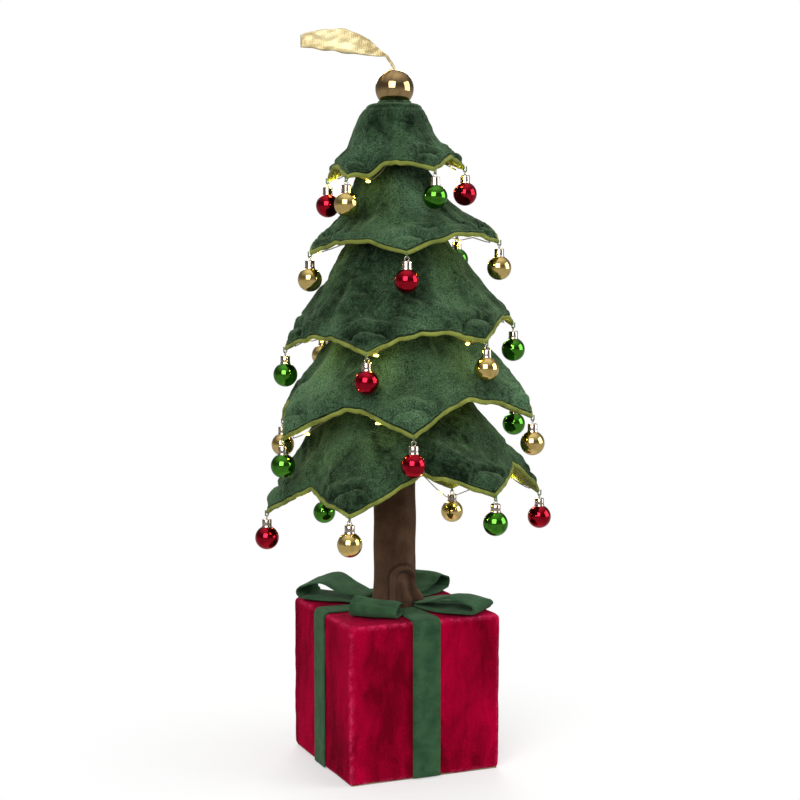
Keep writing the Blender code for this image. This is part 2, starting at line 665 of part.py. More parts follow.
def box_strips():
    """Four felt strips, each from the trunk's foot over the edge and down the middle of a face."""
    reach = {"front": BOX_DEPTH, "right": BOX_WIDTH, "back": BOX_DEPTH, "left": BOX_WIDTH}
    for turn, (side, depth) in enumerate(reach.items()):
        start = FOOT_RADIUS + GAP
        inner = []
        face = depth / 2 + GAP
        top = BOX_HEIGHT + GAP
        inner.append((start, top))
        radius = BOX_EDGE_RADIUS + GAP
        for k in range(5):
            angle = math.pi / 2 * k / 4
            inner.append((face - radius + radius * math.sin(angle), top - radius + radius * math.cos(angle)))
        inner.append((face, STRIP_CLEAR_OF_FLOOR))
        points, faces = band_solid(inner, STRIP_THICKNESS, STRIP_WIDTH)
        mesh = mesh_from(f"box_strip_{side}", points, faces)
        add_object(mesh.name, mesh, "green_felt", turn=math.pi / 2 * turn)


def band_solid(path, thickness, width):
    """Band with a flat section carried along a path of (distance from the axis, height), towards -Y."""
    path = np.array(path)
    tangent = np.gradient(path, axis=0)
    tangent /= np.linalg.norm(tangent, axis=1, keepdims=True)
    outward = np.stack([-tangent[:, 1], tangent[:, 0]], 1)
    widths = np.broadcast_to(np.asarray(width, float), (len(path),))
    offset = path + outward * thickness
    points = []
    for inner, outer, wide in zip(path, offset, widths):
        for (distance, height), side in ((inner, -1), (outer, -1), (outer, 1), (inner, 1)):
            points.append((side * wide / 2, -distance, height))
    faces = []
    for i in range(len(path) - 1):
        for j in range(4):
            k = (j + 1) % 4
            faces.append((4 * i + j, 4 * i + k, 4 * i + 4 + k, 4 * i + 4 + j))
    last = 4 * (len(path) - 1)
    faces += [(0, 1, 2, 3), (last + 3, last + 2, last + 1, last)]
    return points, faces


def bow_loops():
    """Four felt loops that lie on the box top: out along the bottom, round the turn and back on top."""
    floor = BOX_HEIGHT + GAP + STRIP_THICKNESS + GAP
    for name, length, height, turn, tilt in zip(LOOP_NAMES, LOOP_LENGTHS, LOOP_HEIGHTS,
                                                LOOP_DIRECTIONS_DEG, LOOP_TILTS_DEG):
        start = FOOT_RADIUS + GAP + FOLD_RADIUS
        turn_radius = (height - LOOP_THICKNESS) / 2 * LOOP_TURN_SHARE
        reach = length - start
        path = [(start, floor + LOOP_THICKNESS), (start + reach * LOOP_OPEN_SHARE, floor + LOOP_THICKNESS)]
        centre = length - turn_radius - LOOP_THICKNESS
        for k in range(7):
            angle = -math.pi / 2 + math.pi * k / 6
            path.append((centre + turn_radius * math.cos(angle),
                         floor + LOOP_THICKNESS + turn_radius * (1 + math.sin(angle))))
        crest = floor + height - LOOP_THICKNESS
        back = floor + 2 * LOOP_THICKNESS + GAP
        path += [(start + reach * LOOP_CREST_SHARE, crest), (start + reach * LOOP_BACK_SHARE, (crest + back) / 2),
                 (start, back)]
        path = np.array(path)
        share = np.clip((path[:, 0] - start) / (length - start) / LOOP_OPEN_SHARE, 0, 1)
        widths = LOOP_ROOT_WIDTH + (LOOP_WIDTH - LOOP_ROOT_WIDTH) * np.sqrt(share)
        points, faces = band_solid(path[::-1], LOOP_THICKNESS, widths[::-1])
        points = np.array(points)
        rise = np.tan(math.radians(tilt)) * points[:, 0] * np.clip(points[:, 2] - floor, 0, None) / height
        points[:, 2] += rise
        mesh = mesh_from(f"bow_loop_{name}", points, faces)
        add_object(mesh.name, mesh, "green_felt", turn=math.radians(turn))


def trunk():
    """Dowel, foam sleeve with the wire's groove and felt cover with slits and a pinched fold."""
    pole_top = BALL_HEIGHT - BALL_RADIUS - GAP
    add_object("trunk_pole", rod_mesh("trunk_pole", POLE_RADIUS, BOARD_TOP + GAP, pole_top, sides=12), "wood")
    inside = POLE_RADIUS + GAP
    sleeve = [(PADDING_RADIUS, TRUNK_TOP), (PADDING_RADIUS, TRUNK_FOOT),
              (inside, TRUNK_FOOT), (inside, TRUNK_TOP)]
    padding = turned("trunk_padding", sleeve, "foam", 16, closed=True)
    groove = block_mesh("padding_groove",
                        (-GROOVE_WIDTH / 2, PADDING_RADIUS - GROOVE_DEPTH, TRUNK_FOOT - OVERRUN),
                        (GROOVE_WIDTH / 2, PADDING_RADIUS + OVERRUN, TRUNK_TOP + OVERRUN))
    cut(padding, groove)
    inner = PADDING_RADIUS + GAP
    outline = [(TRUNK_RADIUS, TRUNK_TOP), (TRUNK_RADIUS, TRUNK_FOOT + FOOT_FLARE_HEIGHT),
               (TRUNK_RADIUS + FOOT_FLARE * FLARE_WAIST_SHARE,
                TRUNK_FOOT + FOOT_FLARE_HEIGHT * FLARE_RISE_SHARE),
               (FOOT_RADIUS, TRUNK_FOOT), (inner, TRUNK_FOOT), (inner, TRUNK_TOP)]
    cover = turned("trunk_cover", outline, "brown_felt", 16, closed=True)
    for tier in TIERS:
        low = slit_height(tier)
        slit = block_mesh(f"cover_slit_{tier.level + 1}",
                          (-GROOVE_WIDTH / 2, PADDING_RADIUS - GROOVE_DEPTH / 2, low - WIRE_LANE),
                          (GROOVE_WIDTH / 2, TRUNK_RADIUS + OVERRUN, low + SLIT_LENGTH))
        cut(cover, slit)
    fold = trunk_fold()
    CUTTERS.objects.link(fold)
    PARTS.objects.unlink(fold)
    fold.hide_render = True
    fold.display_type = "WIRE"
    combine(cover, fold, "UNION")


def trunk_fold():
    """Pinched fold of the felt: an arch that rises from the foot and comes down again."""
    points = []
    half = math.radians(FOLD_HALF_ANGLE_DEG)
    centre = math.radians(FOLD_DIRECTION_DEG)
    seat = PADDING_RADIUS + 2 * GAP + FOLD_RADIUS
    legs = FOLD_HEIGHT - half * seat
    points.append(polar(seat + FOOT_FLARE / 2, centre - half, TRUNK_FOOT + FOLD_RADIUS * FOLD_LIFT_SHARE))
    for k in range(7):
        turn = math.pi * k / 6
        points.append(polar(seat, centre - half * math.cos(turn),
                            TRUNK_FOOT + legs + half * seat * math.sin(turn)))
    points.append(polar(seat + FOOT_FLARE / 2, centre + half, TRUNK_FOOT + FOLD_RADIUS * FOLD_LIFT_SHARE))
    return as_mesh(tube("trunk_fold", points, FOLD_RADIUS, "brown_felt", 1), "brown_felt")


def slit_height(tier):
    """Lower end of the slit that lets the wire out under a tier: between its top and the next tier's."""
    if tier.level == len(TIERS) - 1:
        return tier.top - SLIT_LENGTH * 3
    below = TIERS[tier.level + 1].top
    return below + (tier.top - below - SLIT_LENGTH) / 2


def top_ball():
    """Mirror ball that sits in the collar."""
    bands = 12
    profile = []
    for k in range(bands + 1):
        angle = math.pi * k / bands
        profile.append((BALL_RADIUS * math.sin(angle), BALL_RADIUS * math.cos(angle)))
    profile[0], profile[-1] = (0.0, BALL_RADIUS), (0.0, -BALL_RADIUS)
    turned("top_ball", profile, "gold", 20, place=(0.0, 0.0, BALL_HEIGHT))


# Ribbon route in its own upright plane: distance to the left of the ball's top, height above it, half width
RIBBON_STEM = ((0.0000, 0.0011), (0.0018, 0.0035), (0.0040, 0.0070), (0.0070, 0.0105), (0.0110, 0.0132))
RIBBON_LEAF = (
    (0.0070, 0.0105, 0.0012),
    (0.0130, 0.0136, 0.0036),
    (0.0200, 0.0165, 0.0062),
    (0.0310, 0.0200, 0.0086),
    (0.0450, 0.0222, 0.0090),
    (0.0580, 0.0225, 0.0074),
    (0.0680, 0.0218, 0.0056),
    (0.0722, 0.0214, 0.0044),
)


def hanger_ribbon():
    """Ribbon loop pulled flat: a twisted stem, out along one leaf, round the end and back along the other."""
    top = BALL_HEIGHT + BALL_RADIUS
    stem = [(-x, 0.0, top + z) for x, z in RIBBON_STEM]
    leaf = np.array(RIBBON_LEAF)
    thick = RIBBON_THICKNESS
    shares = np.arange(len(leaf)) / (len(leaf) - 1)
    spread = RIBBON_SPREAD * np.sqrt(np.clip(np.sin(math.pi * (0.08 + 0.84 * shares)), 0, 1))
    front = [(-x, -s, z, h) for (x, z, h), s in zip(leaf, spread)]
    x, z, h = leaf[-1]
    turn = [(-x - RIBBON_SPREAD * RIBBON_TURN_SHARE, 0.0, z, h)]
    rear = [(-x, s, z, h) for (x, z, h), s in zip(leaf[::-1], spread[::-1])]
    path = np.array(front + turn + rear)
    flat = path[:, :2]
    tangent = np.gradient(flat, axis=0)
    tangent /= np.linalg.norm(tangent, axis=1, keepdims=True)
    normal = np.stack([-tangent[:, 1], tangent[:, 0]], 1)
    points = []
    for (x, y, z, h), n in zip(path, normal):
        for side, rise in ((-0.5, -1), (0.5, -1), (0.5, 1), (-0.5, 1)):
            points.append((x + n[0] * thick * side, y + n[1] * thick * side, top + z + h * rise))
    faces = []
    count = len(path)
    for i in range(count - 1):
        for j in range(4):
            k = (j + 1) % 4
            faces.append((4 * i + j, 4 * i + k, 4 * i + 4 + k, 4 * i + 4 + j))
    last = 4 * (count - 1)
    faces += [(0, 1, 2, 3), (last + 3, last + 2, last + 1, last)]
    mesh = mesh_from("hanger_ribbon", points, faces)
    ribbon = add_object("hanger_ribbon", mesh, "gold_ribbon", turn=math.radians(RIBBON_TURN_DEG))
    twist = as_mesh(tube("ribbon_stem", stem, RIBBON_STEM_RADIUS, "gold_ribbon", 1), "gold_ribbon")
    twist.rotation_euler = (0.0, 0.0, math.radians(RIBBON_TURN_DEG))
    CUTTERS.objects.link(twist)
    PARTS.objects.unlink(twist)
    twist.hide_render = True
    twist.display_type = "WIRE"
    combine(ribbon, twist, "UNION")


def hem_point(tier, angle):
    """Place of the wire inside the lining's edge at an angle."""
    point, normal, down = tier.frame(np.array([angle]), 1.0)
    inset = BACKING + LINING_GAP + LINING + WIRE_CLEARANCE + LED_RADIUS
    place = point[0] - normal[0] * inset + down[0] * (LINING_GAP + LINING_EDGE) * WIRE_EDGE_SHARE
    if tier.level == len(TIERS) - 1:
        low, high = math.radians(WIRE_SAG_FROM_DEG), math.radians(WIRE_SAG_TO_DEG)
        share = (((angle + math.pi) % (2 * math.pi) - math.pi) - low) / (high - low)
        if 0 < share < 1:
            place[2] -= WIRE_SAG * math.sin(math.pi * share) ** 2
    return place


def slope_point(tier, angle, share, lane):
    """Place of the wire against the lining on its way to or from the hem."""
    point, normal, _ = tier.frame(np.array([angle]), share)
    inset = BACKING + LINING_GAP + LINING + WIRE_CLEARANCE + LED_RADIUS
    return point[0] - normal[0] * inset + np.array([lane, 0.0, 0.0])


def string_route():
    """Points of the light string and their radii as shares of the wire's."""
    points, radii = [], []

    def add(point, radius=1.0):
        points.append(np.array(point, float))
        radii.append(radius)

    add((0.0, WIRE_Y, CASE_TOP + 2 * GAP))
    back = math.pi
    bead = LED_RADIUS / WIRE_RADIUS
    for tier in reversed(TIERS):
        low = slit_height(tier)
        high = low + SLIT_LENGTH - WIRE_LANE
        lane = WIRE_LANE / 2
        add((0.0, WIRE_Y, low - WIRE_LANE))
        add((0.0, WIRE_Y + WIRE_RADIUS, low - WIRE_RADIUS))
        add((0.0, TRUNK_RADIUS + 2 * WIRE_RADIUS, low))
        for share in LOOP_STOP_SHARES:
            add(slope_point(tier, back, share, -lane))
        around = hem_route(tier, back, lane)
        for place, is_led in around:
            add(place, bead if is_led else 1.0)
        if tier.level == 0:
            break
        for share in reversed(LOOP_STOP_SHARES):
            add(slope_point(tier, back, share, lane))
        add((0.0, TRUNK_RADIUS + 2 * WIRE_RADIUS, high))
        add((0.0, WIRE_Y + WIRE_RADIUS, high + WIRE_RADIUS))
        add((0.0, WIRE_Y, high + WIRE_LANE))
    return points, radii


def hem_route(tier, back, lane):
    """The wire's way once round a hem: points by angle, with a bead at each LED."""
    radius = TIER_TIP_RADIUS[tier.level]
    start, end = back + lane / radius, back + 2 * math.pi - lane / radius
    step = tier.step / 4
    stops = []
    angle = tier.first
    while angle < end:
        if angle > start + step / 3 and angle < end - step / 3:
            stops.append((angle, False))
        angle += step
    stops += [(start, False), (end, False)]
    half = LED_HALF_LENGTH / radius
    leds = []
    for degrees in LED_DIRECTIONS_DEG[tier.level]:
        led = back + (math.radians(degrees) - back) % (2 * math.pi)
        leds.append(led)
    stops = [s for s in stops if all(abs(s[0] - led) > LED_CLEAR_SHARE * half for led in leds)]
    for led in leds:
        stops += [(led - half, False), (led, True), (led + half, False)]
    stops.sort()
    drop = np.array([0.0, 0.0, LED_DROP])
    return [(hem_point(tier, angle) - drop * is_led, is_led) for angle, is_led in stops]


def light_string():
    """One unbroken wire with an LED bead every few centimetres of hem."""
    points, radii = string_route()
    tube("light_string", points, WIRE_RADIUS, "wire", 0, radii)


gift_box()
battery_parts()
box_strips()
bow_loops()
trunk()
for skirt in TIERS:
    tier_velvet(skirt)
    tier_lining(skirt)
top_ball()
hanger_ribbon()
baubles()
light_string()
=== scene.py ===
import math

import bmesh
import bpy
import numpy as np
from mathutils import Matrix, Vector


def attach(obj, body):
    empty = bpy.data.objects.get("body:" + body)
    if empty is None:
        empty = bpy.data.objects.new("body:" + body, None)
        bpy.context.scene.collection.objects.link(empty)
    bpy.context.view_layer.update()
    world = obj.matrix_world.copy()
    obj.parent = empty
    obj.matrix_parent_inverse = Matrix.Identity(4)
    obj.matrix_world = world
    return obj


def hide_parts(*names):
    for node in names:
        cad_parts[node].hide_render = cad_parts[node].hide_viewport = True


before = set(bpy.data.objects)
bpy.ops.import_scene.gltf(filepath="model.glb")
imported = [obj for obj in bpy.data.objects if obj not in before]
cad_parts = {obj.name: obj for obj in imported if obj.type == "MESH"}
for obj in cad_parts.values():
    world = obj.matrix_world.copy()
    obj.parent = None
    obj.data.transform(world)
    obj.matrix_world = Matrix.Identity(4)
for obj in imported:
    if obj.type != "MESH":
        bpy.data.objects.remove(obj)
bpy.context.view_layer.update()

# Studio: a white floor that fades into a white surround, a large soft lamp from the front left, a weaker
# one from the right and one from behind, and the camera a little above the middle of the tree, turned
# towards the box's left front edge.
CAMERA_PLACE = (-0.539, -1.287, 0.425)
CAMERA_TURN = (math.radians(84.44), 0.0, math.radians(-22.9))
CAMERA_LENS, SENSOR_WIDTH = 79.47, 36.0
SURROUND_GREY, SURROUND_STRENGTH = 0.62, 0.55
MIRRORED_GREYS = ((0.0, 0.55), (0.40, 0.44), (0.49, 0.28), (0.58, 0.14), (0.72, 0.12), (0.88, 0.42),
                  (1.0, 0.9))
FLOOR_HEIGHT, FLOOR_RADIUS = -0.0002, 4.0
FLOOR_WHITE, FLOOR_GLOW = 0.97, 0.42
SHADOW_REACH, SHADOW_END, SHADOW_SHARE = 0.08, 0.27, 0.40
LAMP_AIM = Vector((0.0, 0.0, 0.3))
LAMPS = {"key": ((-1.5, -1.9, 1.5), 1.8, 60.0), "fill": ((1.7, -0.9, 0.9), 1.4, 22.0),
         "rear": ((0.6, 1.9, 1.4), 1.2, 24.0)}


def show(name, data):
    """Object of some data in the scene."""
    made = bpy.data.objects.new(name, data)
    bpy.context.scene.collection.objects.link(made)
    return made


def grey(value):
    """Even colour."""
    return (value, value, value, 1.0)


def feed(tree, node, inputs):
    """Sets a node's inputs, by name or number, to values or joins them to the sockets that feed them."""
    for name, value in inputs.items():
        if isinstance(value, bpy.types.NodeSocket):
            tree.links.new(value, node.inputs[name])
        else:
            node.inputs[name].default_value = value


def add_node(tree, kind, inputs=None, **settings):
    """New shader node with its settings and inputs."""
    node = tree.nodes.new("ShaderNode" + kind)
    for name, value in settings.items():
        setattr(node, name, value)
    feed(tree, node, inputs or {})
    return node


def plain_material(name, colour, roughness, **constants):
    """Material whose even values stand on the shader's own sockets, with its node tree and shader."""
    material = bpy.data.materials.new(name)
    material.use_nodes = True
    tree = material.node_tree
    shader = tree.nodes["Principled BSDF"]
    feed(tree, shader, {"Base Color": (*colour, 1.0), "Roughness": roughness})
    feed(tree, shader, {socket.replace("_", " "): value for socket, value in constants.items()})
    return material, tree, shader


def surround():
    """White to the camera, bands of grey from below to above to reflections, and a soft grey light to
    everything else."""
    world = bpy.data.worlds.new("studio_surround")
    bpy.context.scene.world = world
    world.use_nodes = True
    tree = world.node_tree
    lit = tree.nodes["Background"]
    feed(tree, lit, {"Color": grey(SURROUND_GREY), "Strength": SURROUND_STRENGTH})
    split = add_node(tree, "SeparateXYZ", {0: add_node(tree, "TexCoord").outputs["Generated"]})
    rise = add_node(tree, "MapRange", {"Value": split.outputs["Z"], "From Min": -1.0})
    bands = add_node(tree, "ValToRGB", {0: rise.outputs["Result"]})
    stops = bands.color_ramp.elements
    for stop, (position, value) in zip(stops, (MIRRORED_GREYS[0], MIRRORED_GREYS[-1])):
        stop.position, stop.color = position, grey(value)
    for position, value in MIRRORED_GREYS[1:-1]:
        stops.new(position).color = grey(value)
    mirrored = add_node(tree, "Background", {"Color": bands.outputs["Color"]})
    seen = add_node(tree, "Background", {"Color": grey(1.0)})
    rays = add_node(tree, "LightPath").outputs
    first = add_node(tree, "MixShader", {"Fac": rays["Is Glossy Ray"], 1: lit.outputs[0],
                                         2: mirrored.outputs[0]})
    second = add_node(tree, "MixShader", {"Fac": rays["Is Camera Ray"], 1: first.outputs[0],
                                          2: seen.outputs[0]})
    feed(tree, tree.nodes["World Output"], {"Surface": second.outputs[0]})


def floor():
    """Round white floor: near the tree it takes the shadow, further out it fades to plain white."""
    bpy.ops.mesh.primitive_circle_add(vertices=64, radius=FLOOR_RADIUS, fill_type="NGON")
    ground = bpy.context.object
    ground.name = "floor"
    ground.location = (0.0, 0.0, FLOOR_HEIGHT)
    material, tree, shader = plain_material("white_floor", (FLOOR_WHITE,) * 3, 0.9)
    away = add_node(tree, "VectorMath", {0: add_node(tree, "TexCoord").outputs["Object"]}, operation="LENGTH")
    fade = add_node(tree, "MapRange", {"Value": away.outputs["Value"], "From Min": SHADOW_REACH,
                                       "From Max": SHADOW_END, "To Min": SHADOW_SHARE})
    seen = add_node(tree, "LightPath").outputs["Is Camera Ray"]
    strength = add_node(tree, "MapRange", {"Value": seen, "To Min": FLOOR_GLOW})
    glow = add_node(tree, "Emission", {"Strength": strength.outputs["Result"]})
    mix = add_node(tree, "MixShader", {"Fac": fade.outputs["Result"], 1: shader.outputs[0],
                                       2: glow.outputs[0]})
    feed(tree, tree.nodes["Material Output"], {"Surface": mix.outputs[0]})
    ground.data.materials.append(material)


camera = show("camera", bpy.data.cameras.new("camera"))
camera.data.lens, camera.data.sensor_width = CAMERA_LENS, SENSOR_WIDTH
camera.location, camera.rotation_euler = CAMERA_PLACE, CAMERA_TURN
bpy.context.scene.camera = camera
bpy.context.scene.view_settings.view_transform = "Standard"
surround()
floor()
for name, (place, size, power) in LAMPS.items():
    lamp = show(name, bpy.data.lights.new(name, "AREA"))
    lamp.data.size, lamp.data.energy = size, power
    lamp.location = place
    lamp.rotation_euler = (LAMP_AIM - Vector(place)).to_track_quat("-Z", "Y").to_euler()

# Gift box: a light foam block closed below by a thin board and wrapped in crimson crushed velvet. The
# velvet is glued over the sides, with soft edges, and its pile lies in darker and lighter streaks.
BOX_WIDTH, BOX_DEPTH, BOX_HEIGHT = 0.127, 0.127, 0.124
BOX_EDGE_RADIUS = 0.0042
BOX_COVER_WALL = 0.0018
BOX_GRID = 44
BOX_WELD = 0.0004


def soft_noise(points, size, seed, terms=14):
    """Smooth noise between about -1 and 1: the mean of sine waves of random directions about size long."""
    chance = np.random.default_rng(seed)
    waves = chance.normal(size=(terms, 3))
    waves = waves / np.linalg.norm(waves, axis=1, keepdims=True)
    waves = waves * (2 * math.pi / size) * chance.uniform(0.6, 1.5, (terms, 1))
    phase = chance.uniform(0, 2 * math.pi, terms)
    return np.sin(points @ waves.T + phase).sum(-1) / math.sqrt(terms)


def step_up(value, low, high):
    """0 below low, 1 above high and a smooth S between."""
    share = np.clip((value - low) / (high - low), 0, 1)
    return share * share * (3 - 2 * share)


def bump_at(value, centre, width):
    """Bell of height 1 at the centre: exp of minus the distance in widths squared."""
    return np.exp(-((value - centre) / width) ** 2)


def smooth_piece(name, mesh):
    """Smoothly shaded piece of a mesh."""
    mesh.shade_smooth()
    return show(name, mesh)


def skin(name, points, around=False, along=False, caps=False):
    """Piece whose neighbouring grid points make four-sided faces. around joins the last column to the
    first, along the last row to the first, and caps fills the first and last row."""
    rows, columns = points.shape[:2]
    index = np.arange(rows * columns).reshape(rows, columns)
    ends = [index[0][::-1].tolist(), index[-1].tolist()]
    if around:
        index = np.concatenate([index, index[:, :1]], 1)
    if along:
        index = np.concatenate([index, index[:1]], 0)
    faces = np.stack([index[:-1, :-1], index[:-1, 1:], index[1:, 1:], index[1:, :-1]], -1)
    faces = faces.reshape(-1, 4).tolist() + (ends if caps else [])
    mesh = bpy.data.meshes.new(name)
    mesh.from_pydata(points.reshape(-1, 3).tolist(), [], faces)
    return smooth_piece(name, mesh)


def join(name, parts, weld=0.0):
    """One piece from several, with points closer than weld made one and every closed part's faces turned
    outwards."""
    shape = bmesh.new()
    for part in parts:
        shape.from_mesh(part.data)
        bpy.data.meshes.remove(part.data)
    if weld:
        bmesh.ops.remove_doubles(shape, verts=shape.verts, dist=weld)
    bmesh.ops.recalc_face_normals(shape, faces=shape.faces)
    mesh = bpy.data.meshes.new(name)
    shape.to_mesh(mesh)
    shape.free()
    return smooth_piece(name, mesh)


def places_of(mesh):
    """Places of a mesh's points."""
    places = np.empty(len(mesh.vertices) * 3, np.float32)
    mesh.vertices.foreach_get("co", places)
    return places.reshape(-1, 3).astype(float)


def paint(piece, name, values):
    """Attribute that a material reads. It has a value for each of the first points and 0 for the rest."""
    full = np.zeros(len(piece.data.vertices), np.float32)
    full[:values.size] = values.ravel()
    piece.data.attributes.new(name, "FLOAT", "POINT").data.foreach_set("value", full)


def thicken(piece, wall, side):
    """Gives a sheet its thickness, inside its faces for a side of -1 and half on each for 0."""
    wadding = piece.modifiers.new("thickness", "SOLIDIFY")
    wadding.thickness, wadding.offset = wall, side


def dress(piece, material, slot, *nodes):
    """Material of a piece of the tree, and the solids that it stands for. The slot is not used."""
    piece.data.materials.clear()
    piece.data.materials.append(material)
    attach(piece, "tree")
    if nodes:
        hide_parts(*nodes)


def effect_group(name, inputs, outputs):
    """Shader node group with float inputs and outputs, and its two end nodes."""
    group = bpy.data.node_groups.new(name, "ShaderNodeTree")
    for label, value in inputs.items():
        group.interface.new_socket(label, in_out="INPUT", socket_type="NodeSocketFloat").default_value = value
    for label in outputs:
        group.interface.new_socket(label, in_out="OUTPUT", socket_type="NodeSocketFloat")
    return group, group.nodes.new("NodeGroupInput").outputs, group.nodes.new("NodeGroupOutput")


def object_place(tree):
    """Place of a point on the finished piece."""
    return add_node(tree, "TexCoord").outputs["Object"]


def noise_of(tree, place, scale, detail, distortion=0.0):
    """Noise texture over places."""
    inputs = {"Vector": place, "Scale": scale, "Detail": detail, "Distortion": distortion}
    return add_node(tree, "TexNoise", inputs).outputs["Fac"]


def spread(tree, value, low, high):
    """Stretches the part of a value between low and high to 0 to 1."""
    return add_node(tree, "MapRange", {"Value": value, "From Min": low, "From Max": high}).outputs["Result"]


def weigh(tree, first, second, share):
    """Sum of the first value and a share of the second."""
    return add_node(tree, "Math", {0: second, 1: share, 2: first}, operation="MULTIPLY_ADD").outputs[0]


def pile_group():
    """Velvet: large patches where the pile lies over, streaks between them and single fibres."""
    group, start, end = effect_group("velvet_pile", {"Patch Scale": 45.0, "Streak Scale": 160.0,
                                                     "Fibre Scale": 1500.0, "Stretch": 1.0},
                                     ("Patches", "Fibres", "Height"))
    place = object_place(group)
    stretch = add_node(group, "CombineXYZ", {0: 1.0, 1: 1.0, 2: start["Stretch"]})
    stretched = add_node(group, "VectorMath", {0: place, 1: stretch.outputs[0]}, operation="MULTIPLY")
    patches = spread(group, noise_of(group, stretched.outputs[0], start["Patch Scale"], 3.0, 0.6), 0.34, 0.66)
    streaks = spread(group, noise_of(group, stretched.outputs[0], start["Streak Scale"], 4.0, 0.8), 0.3, 0.7)
    fibres = noise_of(group, place, start["Fibre Scale"], 3.0)
    both = spread(group, weigh(group, patches, streaks, 0.75), 0.35, 1.4)
    feed(group, end, {"Patches": both, "Fibres": spread(group, fibres, 0.3, 0.7),
                      "Height": weigh(group, fibres, both, 0.28)})
    return group


VELVET_PILE = pile_group()


def place_group(tree, group, **values):
    """Puts an effect group into a material with its own values and returns its outputs."""
    inputs = {label.replace("_", " "): value for label, value in values.items()}
    return add_node(tree, "Group", inputs, node_tree=group).outputs


def mix_colours(tree, value, first, second, blend="MIX"):
    """Colour between two, or their product, by a value."""
    inputs = {"Factor": value, "A": first, "B": second}
    return add_node(tree, "Mix", inputs, data_type="RGBA", blend_type=blend).outputs["Result"]


def shade_between(tree, value, dark, light):
    """Colour from dark to light by a value."""
    return mix_colours(tree, value, (*dark, 1.0), (*light, 1.0))


def darken(tree, colour, value, least):
    """Multiplies a colour by a value spread from least to 1."""
    part = add_node(tree, "MapRange", {"Value": value, "To Min": least})
    return mix_colours(tree, 1.0, colour, part.outputs["Result"], "MULTIPLY")


def painted(tree, name):
    """Value of an attribute on the piece, 0 where it has none."""
    return add_node(tree, "Attribute", attribute_name=name).outputs["Fac"]


def darken_where(tree, colour, name, least):
    """Multiplies a colour by least where the painted value is 1."""
    clear = add_node(tree, "Math", {0: 1.0, 1: painted(tree, name)}, operation="SUBTRACT")
    return darken(tree, colour, clear.outputs[0], least)


def relief(tree, shader, height, distance):
    """Bump from a height value."""
    bump = add_node(tree, "Bump", {"Strength": 1.0, "Distance": distance, "Height": height})
    feed(tree, shader, {"Normal": bump.outputs["Normal"]})


def velvet(name, dark, light, painted_light_colour, sheen, weight, bump, least, **pile):
    """Velvet from the pile group with a soft sheen: its colour follows the way the pile lies, with painted
    shade in the stitched creases that one attribute marks, and a painted highlight, paler on the fibres,
    where another attribute marks painted light."""
    material, tree, shader = plain_material(name, light, 0.9, Sheen_Weight=weight, Sheen_Roughness=0.38,
                                            Sheen_Tint=(*sheen, 1.0), Specular_IOR_Level=0.02)
    group = place_group(tree, VELVET_PILE, **pile)
    colour = darken(tree, shade_between(tree, group["Patches"], dark, light), group["Fibres"], least)
    # painted shade in the stitched creases, where the tiers mark it
    colour = darken_where(tree, colour, "crease_shade", 0.35)
    # painted highlight: the colour goes paler on the fibres where the painted light attribute is high
    painted_speck = add_node(tree, "Math", {0: painted(tree, "painted_light"), 1: group["Fibres"]}, operation="MULTIPLY")
    feed(tree, shader, {"Base Color": mix_colours(tree, painted_speck.outputs[0], colour, (*painted_light_colour, 1.0))})
    relief(tree, shader, group["Height"], bump)
    return material


# Its third colour is the pale pink of the painted highlight on the box's edges and top.
CRIMSON_VELVET = velvet("crimson_velvet", (0.170, 0.0002, 0.010), (0.450, 0.0004, 0.033), (0.80, 0.05, 0.17),
                        (1.0, 0.03, 0.16), 0.09, 0.0008, 0.66,
                        Patch_Scale=26.0, Streak_Scale=95.0, Fibre_Scale=900.0, Stretch=0.35)


def box_velvet():
    """Each face is a square grid; a point goes to the nearest point of the box shrunk by the edge radius and
    out again by that radius, so that edges and corners are round. Noise pushes it out a little. A painted
    highlight lies in uneven tufts along the edges, where the pile would catch the light, and the top face is
    painted a little paler, as if lit from above."""
    half = np.array([BOX_WIDTH / 2, BOX_DEPTH / 2, BOX_HEIGHT / 2])
    even = np.linspace(-1, 1, BOX_GRID)
    share = np.sin(np.linspace(-math.pi / 2, math.pi / 2, BOX_GRID)) * 0.28 + even * 0.72
    u, v = np.meshgrid(share, share, indexing="ij")
    one = np.ones_like(u)
    faces = []
    for side in ([u, v, one], [u, -one, v], [-u, one, v], [one, u, v], [-one, -u, v]):
        points = np.stack(side, -1) * half
        core = np.clip(points, -(half - BOX_EDGE_RADIUS), half - BOX_EDGE_RADIUS)
        core[..., 2] = np.maximum(core[..., 2], np.minimum(points[..., 2], 0.0))
        away = points - core
        away = away / np.maximum(np.linalg.norm(away, axis=-1, keepdims=True), 1e-9)
        lift = soft_noise(points, 0.045, 3) * 0.00030 + soft_noise(points, 0.016, 4) * 0.00014
        edge = np.sort(half - abs(points), axis=-1)[..., 1]
        lift = lift - 0.0003 * bump_at(edge, 0.009, 0.003)
        points = core + away * (BOX_EDGE_RADIUS + lift[..., None])
        points[..., 2] = np.maximum(points[..., 2], -half[2]) + half[2]
        faces.append(skin("face", points))
    piece = join("box_velvet", faces, BOX_WELD)
    points = places_of(piece.data) - np.array([0, 0, half[2]])
    edge = np.sort(half - abs(points), axis=-1)[:, 1]
    # Painted highlight: uneven tufts along the edges where the pile would catch the light, and the top face a
    # little paler, as if lit from above.
    tufts = np.clip(0.62 + 0.55 * soft_noise(points, 0.0055, 5), 0.1, 1.2)
    painted_light = bump_at(edge, 0.0008, 0.0016) * tufts + 0.14 * step_up(points[:, 2] - half[2], -0.003, 0)
    paint(piece, "painted_light", np.clip(painted_light, 0, 1))
    thicken(piece, BOX_COVER_WALL, -1.0)
    dress(piece, CRIMSON_VELVET, "crimson_velvet", "gift_box_cover")
    return piece


